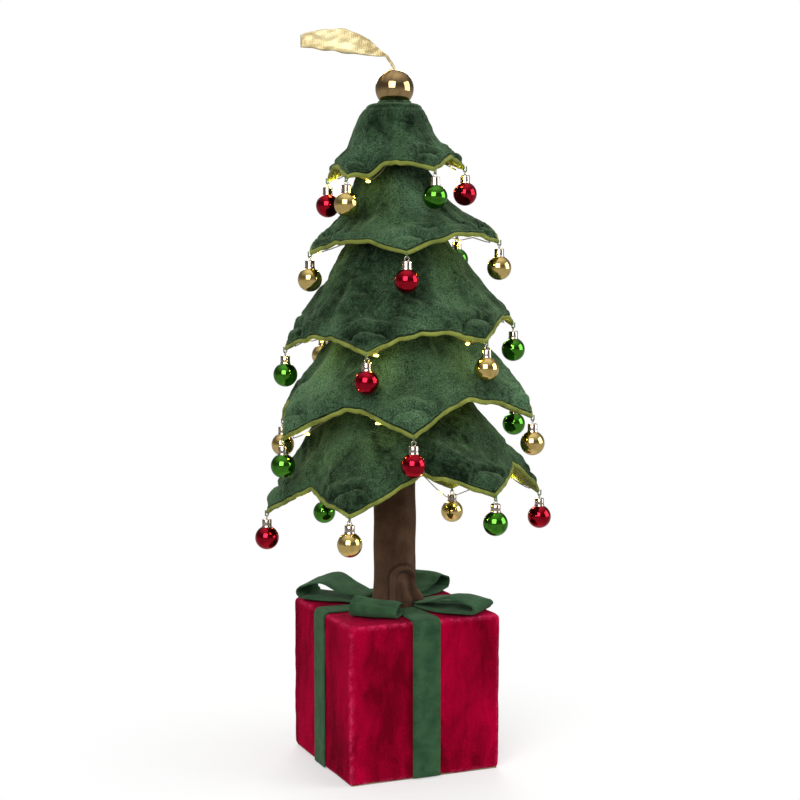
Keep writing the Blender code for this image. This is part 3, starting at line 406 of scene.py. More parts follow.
cover = box_velvet()

# Felt bands: four strips of green craft felt that run from the trunk's foot over the box's top edges
# and down the middle of each face, glued flat, with cut edges.
GAP = 0.0003
STRIP_WIDTH, STRIP_THICKNESS = 0.023, 0.0012
STRIP_START, STRIP_END = 0.0187, 0.001


def felt_group():
    """Felt: matted fibres with a cloudy tone and short hairs that catch the light."""
    group, start, end = effect_group("matted_felt", {"Cloud Scale": 90.0, "Hair Scale": 900.0},
                                     ("Clouds", "Hairs", "Height"))
    place = object_place(group)
    clouds = noise_of(group, place, start["Cloud Scale"], 4.0, 0.4)
    hairs = noise_of(group, place, start["Hair Scale"], 4.0, 2.5)
    feed(group, end, {"Clouds": spread(group, clouds, 0.32, 0.68), "Hairs": spread(group, hairs, 0.3, 0.7),
                      "Height": weigh(group, hairs, clouds, 0.6)})
    return group


MATTED_FELT = felt_group()


def felt(name, dark, light, weight, sheen, bump=0.0005, **scales):
    """Felt from the matted group, with painted shade where an attribute marks a crease."""
    material, tree, shader = plain_material(name, light, 0.95, Sheen_Weight=weight, Sheen_Roughness=0.5,
                                            Sheen_Tint=(*sheen, 1.0), Specular_IOR_Level=0.05)
    group = place_group(tree, MATTED_FELT, **scales)
    colour = darken(tree, shade_between(tree, group["Clouds"], dark, light), group["Hairs"], 0.62)
    feed(tree, shader, {"Base Color": darken_where(tree, colour, "fold_shade", 0.25)})
    relief(tree, shader, group["Height"], bump)
    return material


GREEN_FELT = felt("green_felt", (0.024, 0.070, 0.032), (0.050, 0.128, 0.058), 0.16, (0.5, 0.8, 0.5))


def turned_by(points, degrees):
    """Points turned round Z."""
    angle = math.radians(degrees)
    cosine, sine = math.cos(angle), math.sin(angle)
    return points @ np.array([[cosine, -sine, 0], [sine, cosine, 0], [0, 0, 1]]).T


def move_points(piece, points, degrees=0.0):
    """Gives a piece's points new places, turned round Z."""
    piece.data.vertices.foreach_set("co", turned_by(points, degrees).astype(np.float32).ravel())


def shell(name, points, **closing):
    """Closed piece over a grid of points, with its faces outwards."""
    return join(name, [skin(name, points, **closing)])


def band_skin(name, path, widths, thickness, across, seed, flutter):
    """Closed band: a path of (distance from the axis, height) carried across its width. Its section is a
    flat loop with rounded edges, fluttered by noise."""
    path = np.asarray(path, float)
    tangent = np.gradient(path, axis=0)
    tangent = tangent / np.linalg.norm(tangent, axis=1, keepdims=True)
    side = np.linspace(-1, 1, across)
    rounded = bump_at(abs(side), 1, 0.06) * 0.22
    u = np.concatenate([side, [1.006], side[::-1], [-1.006]])
    w = np.concatenate([rounded, [0.5], 1 - rounded[::-1], [0.5]])
    base = np.stack([np.zeros((len(path), len(u))), -path[:, None, 0] + 0 * u, path[:, None, 1] + 0 * u], -1)
    base[..., 0] = u * np.broadcast_to(np.asarray(widths, float), len(path))[:, None] / 2
    out = np.stack([0 * tangent[:, 0], tangent[:, 1], tangent[:, 0]], -1)[:, None, :]
    lift = w * thickness + soft_noise(base, 0.03, seed) * flutter
    return shell(name, base + out * lift[..., None], around=True, caps=True)


def box_band(side, turn, depth):
    """Strip along the top, round the edge on an arc and down the face to just above the floor."""
    face, top = depth / 2 + GAP, BOX_HEIGHT + GAP
    radius = BOX_EDGE_RADIUS + GAP
    arc = np.linspace(0, math.pi / 2, 9)
    run = np.linspace(STRIP_START, face - radius, 14)[:-1]
    corner = np.stack([face - radius + radius * np.sin(arc), top - radius + radius * np.cos(arc)], 1)
    fall = np.linspace(top - radius, STRIP_END, 30)[1:]
    path = np.concatenate([np.stack([run, 0 * run + top], 1), corner, np.stack([0 * fall + face, fall], 1)])
    piece = band_skin(f"box_band_{side}", path, STRIP_WIDTH, STRIP_THICKNESS, 9, 11 + turn, 0.00008)
    move_points(piece, places_of(piece.data), 90 * turn)
    dress(piece, GREEN_FELT, "green_felt", f"box_strip_{side}")


for turn, side in enumerate(("front", "right", "back", "left")):
    box_band(side, turn, (BOX_DEPTH, BOX_WIDTH)[turn % 2])

# Bow: four loops of the same felt, each bent back on itself and tucked under the trunk's foot, so that
# they lie on the box top like the loops of a tied ribbon. Each has a length, height, turn, tilt, droop
# and seed.
LOOP_THICKNESS = 0.0014
LOOP_WIDTH, LOOP_ROOT_WIDTH = 0.038, 0.016
LOOP_START = 0.0211
LOOPS = {
    "front_right": (0.078, 0.0125, 41.3, -6.0, 0.0018, 21),
    "back_right": (0.076, 0.0165, 135.0, 7.0, 0.0002, 22),
    "back_left": (0.080, 0.0165, 222.6, -5.0, 0.0018, 23),
    "front_left": (0.060, 0.0125, -39.5, -8.0, 0.0016, 24),
}
RIPPLE_HEIGHT, RIPPLE_LENGTH = 0.0012, 0.006


def round_trip(path, counts):
    """Smooth path through given points, as a Catmull-Rom curve with counts points between each two."""
    path = np.asarray(path, float)
    padded = np.concatenate([2 * path[:1] - path[1:2], path, 2 * path[-1:] - path[-2:-1]])
    t = np.arange(counts)[:, None] / counts
    p = [padded[i:len(padded) - 3 + i][:, None, :] for i in range(4)]
    curve = 0.5 * (2 * p[1] + (p[2] - p[0]) * t + (2 * p[0] - 5 * p[1] + 4 * p[2] - p[3]) * t ** 2
                   + (3 * p[1] - p[0] - 3 * p[2] + p[3]) * t ** 3)
    return np.concatenate([curve.reshape(-1, path.shape[1]), path[-1:]])


def bow_loop(name, length, height, turn, tilt, droop, seed):
    """Loop: out along the box top, round a half circle and back above itself to the foot, narrow at its
    root, with the upper layer arched and its edges drooping."""
    low = BOX_HEIGHT + GAP + STRIP_THICKNESS + GAP
    bend = (height - LOOP_THICKNESS) / 2 * 0.62
    span = length - LOOP_START
    end = length - bend - LOOP_THICKNESS
    arc = np.linspace(-math.pi / 2, math.pi / 2, 7)
    flat = low + LOOP_THICKNESS
    crest, back = low + height - LOOP_THICKNESS, low + 2 * LOOP_THICKNESS + GAP
    corners = [(LOOP_START, flat), (LOOP_START + span * 0.22, flat), (LOOP_START + span * 0.45, flat)]
    corners += list(zip(end + bend * np.cos(arc), flat + bend * (1 + np.sin(arc))))
    corners += [(LOOP_START + span * 0.62, crest), (LOOP_START + span * 0.36, (crest + back) / 2),
                (LOOP_START, back)]
    path = round_trip(corners, 6)[::-1]
    share = np.clip((path[:, 0] - LOOP_START) / span / 0.45, 0, 1)
    widths = LOOP_ROOT_WIDTH + (LOOP_WIDTH - LOOP_ROOT_WIDTH) * np.sqrt(share)
    piece = band_skin(f"bow_loop_{name}_felt", path, widths, LOOP_THICKNESS, 13, seed, 0.0004)
    points = places_of(piece.data)
    rise = np.clip(points[:, 2] - flat, 0, None) / height
    points[:, 2] += math.tan(math.radians(tilt)) * points[:, 0] * rise
    out = np.clip((-points[:, 1] - LOOP_START) / span, 0, 1)
    ripple = RIPPLE_HEIGHT * np.sin(points[:, 0] / RIPPLE_LENGTH + seed)
    points[:, 2] += rise * out * (ripple - droop * (points[:, 0] / (LOOP_WIDTH / 2)) ** 2)
    points[:, 2] = np.maximum(points[:, 2], low + 0.0001)
    move_points(piece, points, turn)
    dress(piece, GREEN_FELT, "green_felt", f"bow_loop_{name}")


for name, values in LOOPS.items():
    bow_loop(name, *values)

# Trunk: a dowel in a foam sleeve, covered with dark brown felt that is pulled tight, with upright creases,
# and pinched low on the right into a small fold where it is sewn to the box.
PADDING_RADIUS = 0.0150
TRUNK_RADIUS = 0.0168
TRUNK_FOOT = 0.1243
TRUNK_TOP = 0.5186
FOOT_FLARE = 0.0016
FOLD_DIRECTION = 0.0
FOLD_HALF_WIDTH = 0.0082
FOLD_HEIGHT = 0.0325
FAN_DIRECTION = 62.0
FAN_REACH = 0.0056
UP = np.array([0, 0, 1.0])

BROWN_FELT = felt("brown_felt", (0.072, 0.037, 0.022), (0.128, 0.068, 0.041), 0.22, (0.8, 0.6, 0.45),
                  Cloud_Scale=70.0)


def around_tree(angle):
    """Unit vectors out from the axis: zero is the front, positive towards the right."""
    return np.stack([np.sin(angle), -np.cos(angle), np.zeros_like(angle)], -1)


def away_from(angle, direction):
    """Angle counted from a direction, within half a turn either way."""
    return (angle - direction + math.pi) % (2 * math.pi) - math.pi


def trunk_felt():
    """Radius over angle and height: the sleeve's radius, a flare at the foot, shallow upright creases of
    noise, and an arch-shaped ridge for the squeezed fold, with a hollow inside it. Painted shade lies along
    both sides of the ridge and beside the tuck inside it."""
    angle = np.linspace(0, 2 * math.pi, 97)[:-1]
    height = np.concatenate([np.linspace(TRUNK_FOOT, 0.160, 34), np.linspace(0.162, 0.262, 36),
                             np.linspace(0.27, TRUNK_TOP, 24)])
    h, a = np.meshgrid(height, angle, indexing="ij")
    out = around_tree(a)
    foot = np.clip(1 - (h - TRUNK_FOOT) / 0.022, 0, 1)
    radius = TRUNK_RADIUS + FOOT_FLARE * foot ** 2
    stretched = out * 0.017 + np.stack([0 * h, 0 * h, h * 0.16], -1)
    radius = radius + soft_noise(stretched, 0.013, 31) * 0.00042
    radius = radius + soft_noise(stretched * [1, 1, 2.5], 0.02, 32) * 0.0003
    side = away_from(a, math.radians(FOLD_DIRECTION))
    up = h - TRUNK_FOOT
    below = np.clip(1 - up / FOLD_HEIGHT, 0, 1)
    across = side * TRUNK_RADIUS / (1 + 0.6 * below * (side > 0))
    straight = np.minimum(up, FOLD_HEIGHT - FOLD_HALF_WIDTH)
    reach = np.hypot(across, up - straight)
    ridge = bump_at(reach, FOLD_HALF_WIDTH, 0.0022) * step_up(FOLD_HEIGHT + 0.006 - up, 0, 0.003)
    tuck = across + 0.0014 - 0.0040 * below
    inside = step_up(FOLD_HEIGHT - 0.0085 - up, 0, 0.005)
    inner_ridge = bump_at(tuck, 0, 0.0019) * inside
    radius = radius + ridge * 0.0050 + inner_ridge * 0.0022 - bump_at(reach, 0.0098, 0.0016) * 0.0013
    fan = away_from(a, math.radians(FAN_DIRECTION))
    radius = radius + (FAN_REACH * bump_at(fan, 0, 0.75) * bump_at(h, 0.1312, 0.0052)
                       * step_up(h, 0.1285, 0.1308))
    slant = soft_noise(np.stack([across + up * 0.9, up * 0.25, 0 * up], -1), 0.012, 33)
    radius = radius + slant * 0.0006 * step_up(0.058 - up, 0, 0.03) * bump_at(side, 0, 1.2)
    radius = np.maximum(radius, PADDING_RADIUS + 0.0006)
    outer = out * radius[..., None]
    outer[..., 2] = h
    inner = around_tree(angle)[None] * (PADDING_RADIUS + GAP) + np.zeros((2, 1, 1))
    inner[..., 2] = np.array([TRUNK_TOP, TRUNK_FOOT])[:, None]
    piece = shell("trunk_felt", np.concatenate([outer, inner]), around=True, along=True)
    # painted shade along both sides of the fold's ridge and beside the tuck inside it
    sides = bump_at(reach, FOLD_HALF_WIDTH + 0.0030, 0.0012)
    sides = sides + 0.8 * bump_at(reach, FOLD_HALF_WIDTH - 0.0028, 0.0012)
    beside = bump_at(abs(tuck), 0.0026, 0.0008) * inside
    dark = (sides + 0.7 * beside) * step_up(FOLD_HEIGHT + 0.007 - up, 0, 0.003)
    paint(piece, "fold_shade", np.clip(dark, 0, 1) * 0.8)
    return piece


trunk = trunk_felt()
dress(trunk, BROWN_FELT, "brown_felt", "trunk_cover")

# Tiers: five skirts of dark green crushed velvet over thin wadding, cut as stars with 5, 5, 6, 6 and 6
# points. Each is sewn to the trunk at its top, and a stitched arc across each point gathers it into a
# soft puff. The top one closes over the trunk and holds the ball in a short collar.
TIER_POINTS = (5, 5, 6, 6, 6)
TIER_TOP_HEIGHT = (0.5195, 0.4820, 0.4540, 0.4100, 0.3450)
TIER_TIP_HEIGHT = (0.4700, 0.4145, 0.3430, 0.2775, 0.2135)
TIER_TIP_RADIUS = (0.0545, 0.0740, 0.0905, 0.1078, 0.1078)
TIER_HEM_WAVE = (0.0080, 0.0090, 0.0110, 0.0200, 0.0220)
TIER_VALLEY_INSET = (0.0100, 0.0090, 0.0100, 0.0195, 0.0190)
TIER_FIRST_POINT = np.radians((-62.5, -21.4, -38.9, -19.1, -44.8))
TIER_TIP_FLARE = (0.50, 0.45, 0.27, 0.25, 0.10)
TIER_VALLEY_FLARE = (0.60, 0.74, 0.25, 0.35, 0.05)
TIER_CURL = (0.10, 0.0, 0.0, 0.0, 0.0)
TIER_ROUND_VALLEY = (1.0, 1.0, 1.0, 0.8, 0.15)
TIER_LEAN_RIGHT = (0.088, 0.085, 0.098, 0.088, 0.034)
TIER_LEAN_BACK = (-0.017, 0.050, 0.042, -0.003, -0.082)
TIER_SHIFT_RIGHT = (0.0, 0.0065, 0.0045, 0.0062, 0.0071)
TIER_SHIFT_FRONT = (0.0, 0.0027, 0.0019, 0.0026, 0.0030)
TIER_WARP = (0.0, 0.0, 0.0, 0.0, 0.0050)
WARP_DIRECTION = math.radians(15.0)
BACKING = 0.0012
TIER_WADDING = (0.0022, 0.0018, 0.0022, 0.0028, 0.0026)
HEM_WADDING_SHARE = 0.45
LINING = 0.0012
LINING_GAP = 0.0004
LINING_EDGE = 0.0040
SHOULDER_RADIUS = 0.0198
SHOULDER_DROP = 0.0024
COLLAR_HEIGHT = 0.0014
SHOULDER_SWELL = 0.0024
SWELL_DIRECTION = math.radians(-113.0)
LEFT_SWELL = 0.0058
HEM_DIP = 0.0058
DIP_DIRECTION, DIP_WIDTH = math.radians(-46.0), 0.17
COLLAR_WALL = 0.0016
BALL_RADIUS = 0.0150
BALL_HEIGHT = 0.5333
STITCH_ARC = (0.0150, 0.0165, 0.0185, 0.0200, 0.0200)
TIER_COLUMNS = 56
SWELL_FRAMES, SWELL_PRESSURE, SWELL_MOST = 14, 1.1, 0.0014
TIER_CALM = (0.45, 0.7, 1.0, 1.0, 1.0)
# Painted light on each tier's velvet: tier 4 is painted paler, as if it caught more light, and tiers 2, 3 and
# 5 less, as if in shade.
TIER_PAINTED_LIGHT = (0.0, -0.03, -0.09, 0.36, -0.10)

# Its third colour is the pale green that the painted light turns the fibres to.
GREEN_VELVET = velvet("green_velvet", (0.0095, 0.0210, 0.0105), (0.0710, 0.1410, 0.0700), (0.17, 0.33, 0.17),
                      (0.50, 0.80, 0.46), 0.30, 0.0012, 0.22,
                      Patch_Scale=27.0, Streak_Scale=210.0, Fibre_Scale=900.0, Stretch=0.8)


def star(tier, angle):
    """1 at a tip and 0 in a valley: straight from the tip, and round or sharp in the valley."""
    turn = ((angle - TIER_FIRST_POINT[tier]) / (2 * math.pi / TIER_POINTS[tier])) % 1.0
    away = 2 * np.minimum(turn, 1 - turn)
    rounded = TIER_ROUND_VALLEY[tier]
    return 1 - ((1 - rounded) * away + rounded * np.sin(math.pi / 2 * away))


def hem_drift(tier, angle):
    """Small unevenness of the sewn hem, none at the tips: two noises of the place round the tree."""
    ring = around_tree(np.asarray(angle, float)) * TIER_TIP_RADIUS[tier]
    uneven = 0.00085 * soft_noise(ring, 0.020, 50 + tier) + 0.00035 * soft_noise(ring, 0.009, 55 + tier)
    if tier == 0:
        uneven = uneven - HEM_DIP * bump_at(away_from(angle, DIP_DIRECTION), 0, DIP_WIDTH)
    return uneven * (1 - star(tier, angle) ** 3)


def cone(tier, angle, share):
    """Velvet's inner face at an angle, a share of the way from the top to the hem. The radius grows with
    the share and its cube (the flare), fuller on the left of the top two tiers, and the hem's height
    follows the star, a lean and a warp."""
    tip = star(tier, angle)
    hem_radius = TIER_TIP_RADIUS[tier] - TIER_VALLEY_INSET[tier] * (1 - tip)
    flare = TIER_VALLEY_FLARE[tier] + (TIER_TIP_FLARE[tier] - TIER_VALLEY_FLARE[tier]) * tip
    curl = TIER_CURL[tier] * np.sin(2 * math.pi * share) / (2 * math.pi)
    run = (1 - flare) * share + flare * share ** 3 - curl
    top = TRUNK_RADIUS + GAP + BACKING if tier else SHOULDER_RADIUS
    out = around_tree(angle)
    hem = TIER_TIP_HEIGHT[tier] + TIER_HEM_WAVE[tier] * (1 - tip)
    hem = hem + hem_radius * (out[..., 0] * TIER_LEAN_RIGHT[tier] + out[..., 1] * TIER_LEAN_BACK[tier])
    hem = hem + TIER_WARP[tier] * np.cos(2 * (angle - WARP_DIRECTION)) + hem_drift(tier, angle)
    radius = top + (hem_radius - top) * run
    left = np.cos(angle - SWELL_DIRECTION)
    fullness = (SHOULDER_SWELL * (1 + 0.7 * left), LEFT_SWELL * (0.5 + 0.5 * left) ** 2, 0, 0, 0)[tier]
    radius = radius + fullness * 6.75 * share * (1 - share) ** 2
    point = out * radius[..., None]
    point[..., 2] = TIER_TOP_HEIGHT[tier] + (hem - TIER_TOP_HEIGHT[tier]) * share
    point[..., 0] += TIER_SHIFT_RIGHT[tier] * share
    point[..., 1] -= TIER_SHIFT_FRONT[tier] * share
    return point


def cone_frame(tier, angle, share):
    """Point of the cone with its outward normal and its direction down, from differences a little way
    along each parameter."""
    angle, share = np.broadcast_arrays(np.asarray(angle, float), np.asarray(share, float))
    nudge = 0.004
    down = cone(tier, angle, share + nudge) - cone(tier, angle, share - nudge)
    along = cone(tier, angle + nudge, share) - cone(tier, angle - nudge, share)
    down = down / np.linalg.norm(down, axis=-1, keepdims=True)
    normal = np.cross(down, along)
    return cone(tier, angle, share), normal / np.linalg.norm(normal, axis=-1, keepdims=True), down


def tier_angles(tier):
    """Columns round a tier, with one on every tip and valley, closer together near the tips."""
    step = np.arange(TIER_COLUMNS) / TIER_COLUMNS
    eased = step - 0.055 * np.sin(2 * math.pi * step)
    turn = (np.arange(TIER_POINTS[tier])[:, None] + eased).ravel()
    return TIER_FIRST_POINT[tier] + turn * 2 * math.pi / TIER_POINTS[tier]


def tip_distance(tier, angle, point):
    """Distance of a point of the cone from the nearest tip of the hem."""
    step = 2 * math.pi / TIER_POINTS[tier]
    nearest = TIER_FIRST_POINT[tier] + np.round((angle - TIER_FIRST_POINT[tier]) / step) * step
    return np.linalg.norm(point - cone(tier, nearest, np.ones_like(nearest)), axis=-1)


def past_stitches(tier, away, point):
    """Distance from the stitched arc, which wanders a little, of points so far away from their tip."""
    return away - STITCH_ARC[tier] * (1 + 0.09 * soft_noise(point, 0.020, 65 + tier))


def wadding(tier, angle, share, point):
    """Height of the velvet over the cone: full on the slope, thin at the hem, creased on the stitched arc
    round a tip, puffed inside it, with gathers that run up from the arc and soft wrinkles."""
    full = TIER_WADDING[tier]
    away = tip_distance(tier, angle, point)
    arc = STITCH_ARC[tier]
    height = full * step_up(share, -0.02 if tier == 0 else 0.0, 0.12 if tier == 0 else 0.28)
    slope = step_up(share, 0.12, 0.4) * (1 - step_up(share, 0.93, 1.0) * 0.6)
    height = height + full * 0.34 * step_up(share, 0.70, 0.92) * (1 - step_up(share, 0.94, 1.0))
    height = height - full * 0.50 * step_up(share, 0.965, 1.0)
    crease = past_stitches(tier, away, point)
    puffed = 1 - step_up(away, arc * 0.40, arc * 0.98)
    height = height + full * 1.05 * puffed * (1 - step_up(share, 0.965, 1.0))
    height = height - full * 1.35 * bump_at(crease, 0, 0.0018) * (1 - step_up(share, 0.985, 1.0))
    height = height + full * 0.50 * bump_at(crease, 0.0062, 0.0038) * slope
    spokes = np.sin(angle * 74.0 + soft_noise(point, 0.03, 60 + tier) * 2.5)
    height = height + 0.00055 * spokes * bump_at(crease, 0.003, 0.0075) * slope
    folds = soft_noise(point * np.array([1.0, 1.0, 0.55]), 0.034, 70 + tier)
    height = height + 0.00105 * TIER_CALM[tier] * folds * slope
    small = soft_noise(point, 0.013, 80 + tier)
    height = height + 0.00026 * TIER_CALM[tier] * small * slope
    seam = (1 - star(tier, angle)) ** 6
    return height - 0.0007 * seam * slope


def sewn_down(tier, angle, share, point):
    """1 where stitching or the hem holds the velvet and 0 where the wadding is free to swell."""
    away = tip_distance(tier, angle, point)
    held = bump_at(away, STITCH_ARC[tier], 0.0030)
    return np.clip(held + 1 - step_up(share, 0.05, 0.20) + step_up(share, 0.90, 0.97), 0, 1)


def swell(grid, held, most):
    """Blows a closed padded shell up a little as cloth under pressure and returns how far each point of
    its grid moves. Stitched points are pinned, and no point moves further than most."""
    piece = shell("swelling", grid, around=True, along=True)
    group = piece.vertex_groups.new(name="sewn")
    for level in range(1, 11):
        near = np.nonzero(np.round(held.ravel() * 10).astype(int) == level)[0].tolist()
        group.add(near, level / 10, "REPLACE")
    cloth = piece.modifiers.new("swell", "CLOTH")
    settings = cloth.settings
    settings.quality = 5
    settings.mass = 0.15
    settings.tension_stiffness = settings.compression_stiffness = 12.0
    settings.shear_stiffness = 6.0
    settings.bending_stiffness = 0.6
    settings.shrink_min = -0.035
    settings.use_pressure = True
    settings.uniform_pressure_force = SWELL_PRESSURE
    settings.effector_weights.gravity = 0.0
    settings.vertex_group_mass = "sewn"
    cloth.collision_settings.use_collision = False
    scene = bpy.context.scene
    for count in range(1, SWELL_FRAMES + 1):
        scene.frame_set(count)
    graph = bpy.context.evaluated_depsgraph_get()
    blown = piece.evaluated_get(graph)
    move = places_of(blown.to_mesh()).reshape(grid.shape) - grid
    blown.to_mesh_clear()
    bpy.data.objects.remove(piece)
    scene.frame_set(1)
    size = np.linalg.norm(move, axis=-1, keepdims=True)
    return move * np.minimum(1, most / np.maximum(size, 1e-9))


def twice_as_fine(move, rows):
    """Values between the rows and columns of a grid whose columns run round: the mean of neighbours."""
    place = np.arange(rows) / 2
    low = np.floor(place).astype(int)
    high = np.minimum(low + 1, len(move) - 1)
    part = (place - low)[:, None, None]
    move = move[low] * (1 - part) + move[high] * part
    between = (move + np.roll(move, -1, 1)) / 2
    return np.stack([move, between], 2).reshape(rows, -1, 3)


def ball_radius_at(height):
    """Radius of the top ball's section at a height."""
    return math.sqrt(BALL_RADIUS ** 2 - (BALL_HEIGHT - height) ** 2)


def padded_face(tier, angle, shares):
    """Grid of the velvet's outer face with how firmly each point is sewn down."""
    angles, shares = np.meshgrid(angle, shares)
    point, normal, _ = cone_frame(tier, angles, shares)
    height = wadding(tier, angles, shares, point)
    return point + normal * height[..., None], sewn_down(tier, angles, shares, point)


def backing_face(tier, angle, shares):
    """Grid of the velvet's backing, from the hem up."""
    angles, shares = np.meshgrid(angle, shares)
    point, normal, _ = cone_frame(tier, angles, shares)
    return point - normal * BACKING


def collar(angle, edge):
    """Rings that close the top tier: its hole, the collar round the ball, the flat top, slightly rippled,
    and the rounded shoulder, a quarter oval that ends on the edge of the slope."""
    flat = TIER_TOP_HEIGHT[0] + SHOULDER_DROP
    rim, under = flat + COLLAR_HEIGHT, TIER_TOP_HEIGHT[0] - BACKING / 2
    hole, mouth = ball_radius_at(flat) + GAP, ball_radius_at(rim) + GAP
    ring = [(hole, under), (hole + 0.0002, flat), (mouth, rim), (mouth + COLLAR_WALL * 0.6, rim + 0.0004),
            (mouth + COLLAR_WALL, rim - 0.0004), (mouth + COLLAR_WALL + 0.0001, flat + 0.0005),
            (mouth + COLLAR_WALL + 0.0006, flat)]
    ring = np.array(ring)
    ripple = 1 + 0.012 * np.sin(angle * 9 + ring[:, 1:] * 900) * (ring[:, :1] > hole + 0.001)
    turn = np.radians((8, 20, 32, 44, 56, 68, 78))[:, None]
    inner, wide = ring[-1, 0] * ripple[-1], np.hypot(edge[:, 0], edge[:, 1])
    far = inner + (wide - inner) * np.sin(turn)
    high = flat - (flat - edge[:, 2]) * (1 - np.cos(turn))
    radius = np.concatenate([ring[:, :1] * ripple, far])
    height = np.concatenate([ring[:, 1:] + 0 * angle, high])
    return around_tree(angle) * radius[..., None] + UP * height[..., None]


def tier_velvet(tier):
    """Closed shell: rows of shares down the outer face, the roll of the hem and rows back up the inner
    face. The swelling is worked out on every second row and column."""
    angle = tier_angles(tier)
    start = 0.05 if tier == 0 else 0.0
    shares = np.concatenate([np.linspace(start, 0.52, 22)[:-1], np.linspace(0.52, 0.975, 45),
                             [0.985, 0.994, 1.0]])
    face, held = padded_face(tier, angle, shares)
    behind = backing_face(tier, angle[::2], np.linspace(0.99, shares[0], 7))
    pinned = np.concatenate([held[::2, ::2], np.ones(behind.shape[:2])])
    move = swell(np.concatenate([face[::2, ::2], behind]), pinned, SWELL_MOST * TIER_CALM[tier])
    move = move[:len(face[::2])]
    face = face + twice_as_fine(move, len(face)) * (1 - held[..., None])
    point, normal, down = cone_frame(tier, angle, 1.0)
    thin = TIER_WADDING[tier] * HEM_WADDING_SHARE
    roll = [point + normal * out + down * low for out, low in
            ((thin + 0.0004, 0.0006), (thin - 0.0002, 0.0012), (thin - 0.0008, 0.0010), (-0.0001, 0.0001))]
    back = backing_face(tier, angle, np.linspace(1, 0, 14))
    if tier == 0:
        back[-1] = around_tree(angle) * (SHOULDER_RADIUS - BACKING)
        back[-1, :, 2] = TIER_TOP_HEIGHT[0] - BACKING / 2
        back = np.concatenate([back, collar(angle, face[0])])
    else:
        back[-1] = around_tree(angle) * (TRUNK_RADIUS + GAP)
        back[-1, :, 2] = TIER_TOP_HEIGHT[tier] - BACKING
    grid = np.concatenate([face, np.stack(roll), back])
    piece = shell(f"tier_{tier + 1}_padded_velvet", grid, around=True, along=True)
    angles, rows = np.meshgrid(angle, shares)
    on_cone = cone(tier, angles, rows)
    crease = past_stitches(tier, tip_distance(tier, angles, on_cone), on_cone)
    # painted shade along the stitched arcs, where the creases lie
    paint(piece, "crease_shade", bump_at(crease, 0, 0.0014) * 0.9 * (1 - step_up(rows, 0.97, 1.0)))
    # painted light: the tier's share plus soft random patches, which the velvet turns into paler fibres
    painted_light_patches = TIER_PAINTED_LIGHT[tier] + 0.30 * soft_noise(on_cone, 0.055, 97 + tier)
    paint(piece, "painted_light", np.clip(painted_light_patches, 0, 1))
    dress(piece, GREEN_VELVET, "green_velvet", f"tier_{tier + 1}_velvet")
    return piece


VELVETS = [tier_velvet(tier) for tier in range(5)]

# Linings: each skirt is lined with lime green felt. The lining comes out round the hem as a soft rolled
# edge about 4 mm deep, and a loop of thread at each point carries a bauble.
LINING_START = (0.14, 0.24, 0.14, 0.14, 0.14)
SHADOW_OFFSET = 0.3
THREAD_RADIUS = 0.0005
THREAD_DROP = 0.0027
RING_WIRE = 0.00035

LIME_FELT = felt("lime_felt", (0.165, 0.198, 0.033), (0.330, 0.380, 0.078), 0.20, (0.85, 0.95, 0.5), 0.0006)
GREEN_THREAD = plain_material("green_thread", (0.05, 0.13, 0.04), 0.7, Sheen_Weight=0.3)[0]


def hem_thickness(tier):
    """Thickness of the whole hem: lining, gap, backing and the thin end of the wadding."""
    return TIER_WADDING[tier] * HEM_WADDING_SHARE + BACKING + LINING_GAP + LINING


def tier_lining(tier):
    """Closed shell: up the inner face from the hem, back down the outer face, and round the rolled edge,
    whose section is a half oval as thick as the hem, with slight lumps along it."""
    angle = tier_angles(tier)
    inside, outside = BACKING + LINING_GAP + LINING, BACKING + LINING_GAP
    shares = np.linspace(LINING_START[tier], 1.0, 14)
    rows = []
    for share in shares:
        point, normal, _ = cone_frame(tier, angle, share)
        rows.append(point - normal * inside)
    point, normal, down = cone_frame(tier, angle, 1.0)
    thick, deep = hem_thickness(tier), LINING_EDGE * 0.55
    lump = 1 + 0.20 * soft_noise(point, 0.013, 90 + tier) + 0.10 * soft_noise(point, 0.005, 95 + tier)
    for turn in np.linspace(-math.pi / 2, math.pi / 2, 9):
        across = -inside + (thick - GAP) * (math.sin(turn) * 0.5 + 0.5)
        depth = LINING_GAP + LINING_EDGE - deep + deep * math.cos(turn) * lump
        rows.append(point + normal * across + down * np.atleast_1d(depth)[:, None])
    face = TIER_WADDING[tier] * HEM_WADDING_SHARE
    rows.append(point + normal * (face - 0.0006) + down * (LINING_GAP + 0.0013))
    rows.append(point + normal * (face - 0.0012) + down * (LINING_GAP + 0.0009))
    rows.append(point - normal * outside + down * LINING_GAP)
    for share in shares[::-1]:
        point, normal, _ = cone_frame(tier, angle, share)
        rows.append(point - normal * outside)
    grid = np.stack(rows)
    piece = shell(f"tier_{tier + 1}_felt_lining", grid, around=True, along=True)
    piece.cycles.shadow_terminator_geometry_offset = SHADOW_OFFSET
    piece.cycles.shadow_terminator_offset = SHADOW_OFFSET
    dress(piece, LIME_FELT, "lime_felt", f"tier_{tier + 1}_lining")


def pivot(tier, number):
    """Point that a bauble swings on, just under the rolled edge at a tip, and the tip's angle."""
    angle = TIER_FIRST_POINT[tier] + 2 * math.pi / TIER_POINTS[tier] * number
    point, normal, down = cone_frame(tier, np.array([angle]), 1.0)
    middle = (TIER_WADDING[tier] * HEM_WADDING_SHARE - BACKING - LINING_GAP - LINING) / 2
    edge = point[0] + normal[0] * middle + down[0] * (LINING_GAP + LINING_EDGE)
    return edge - np.array([0, 0, THREAD_DROP]), angle


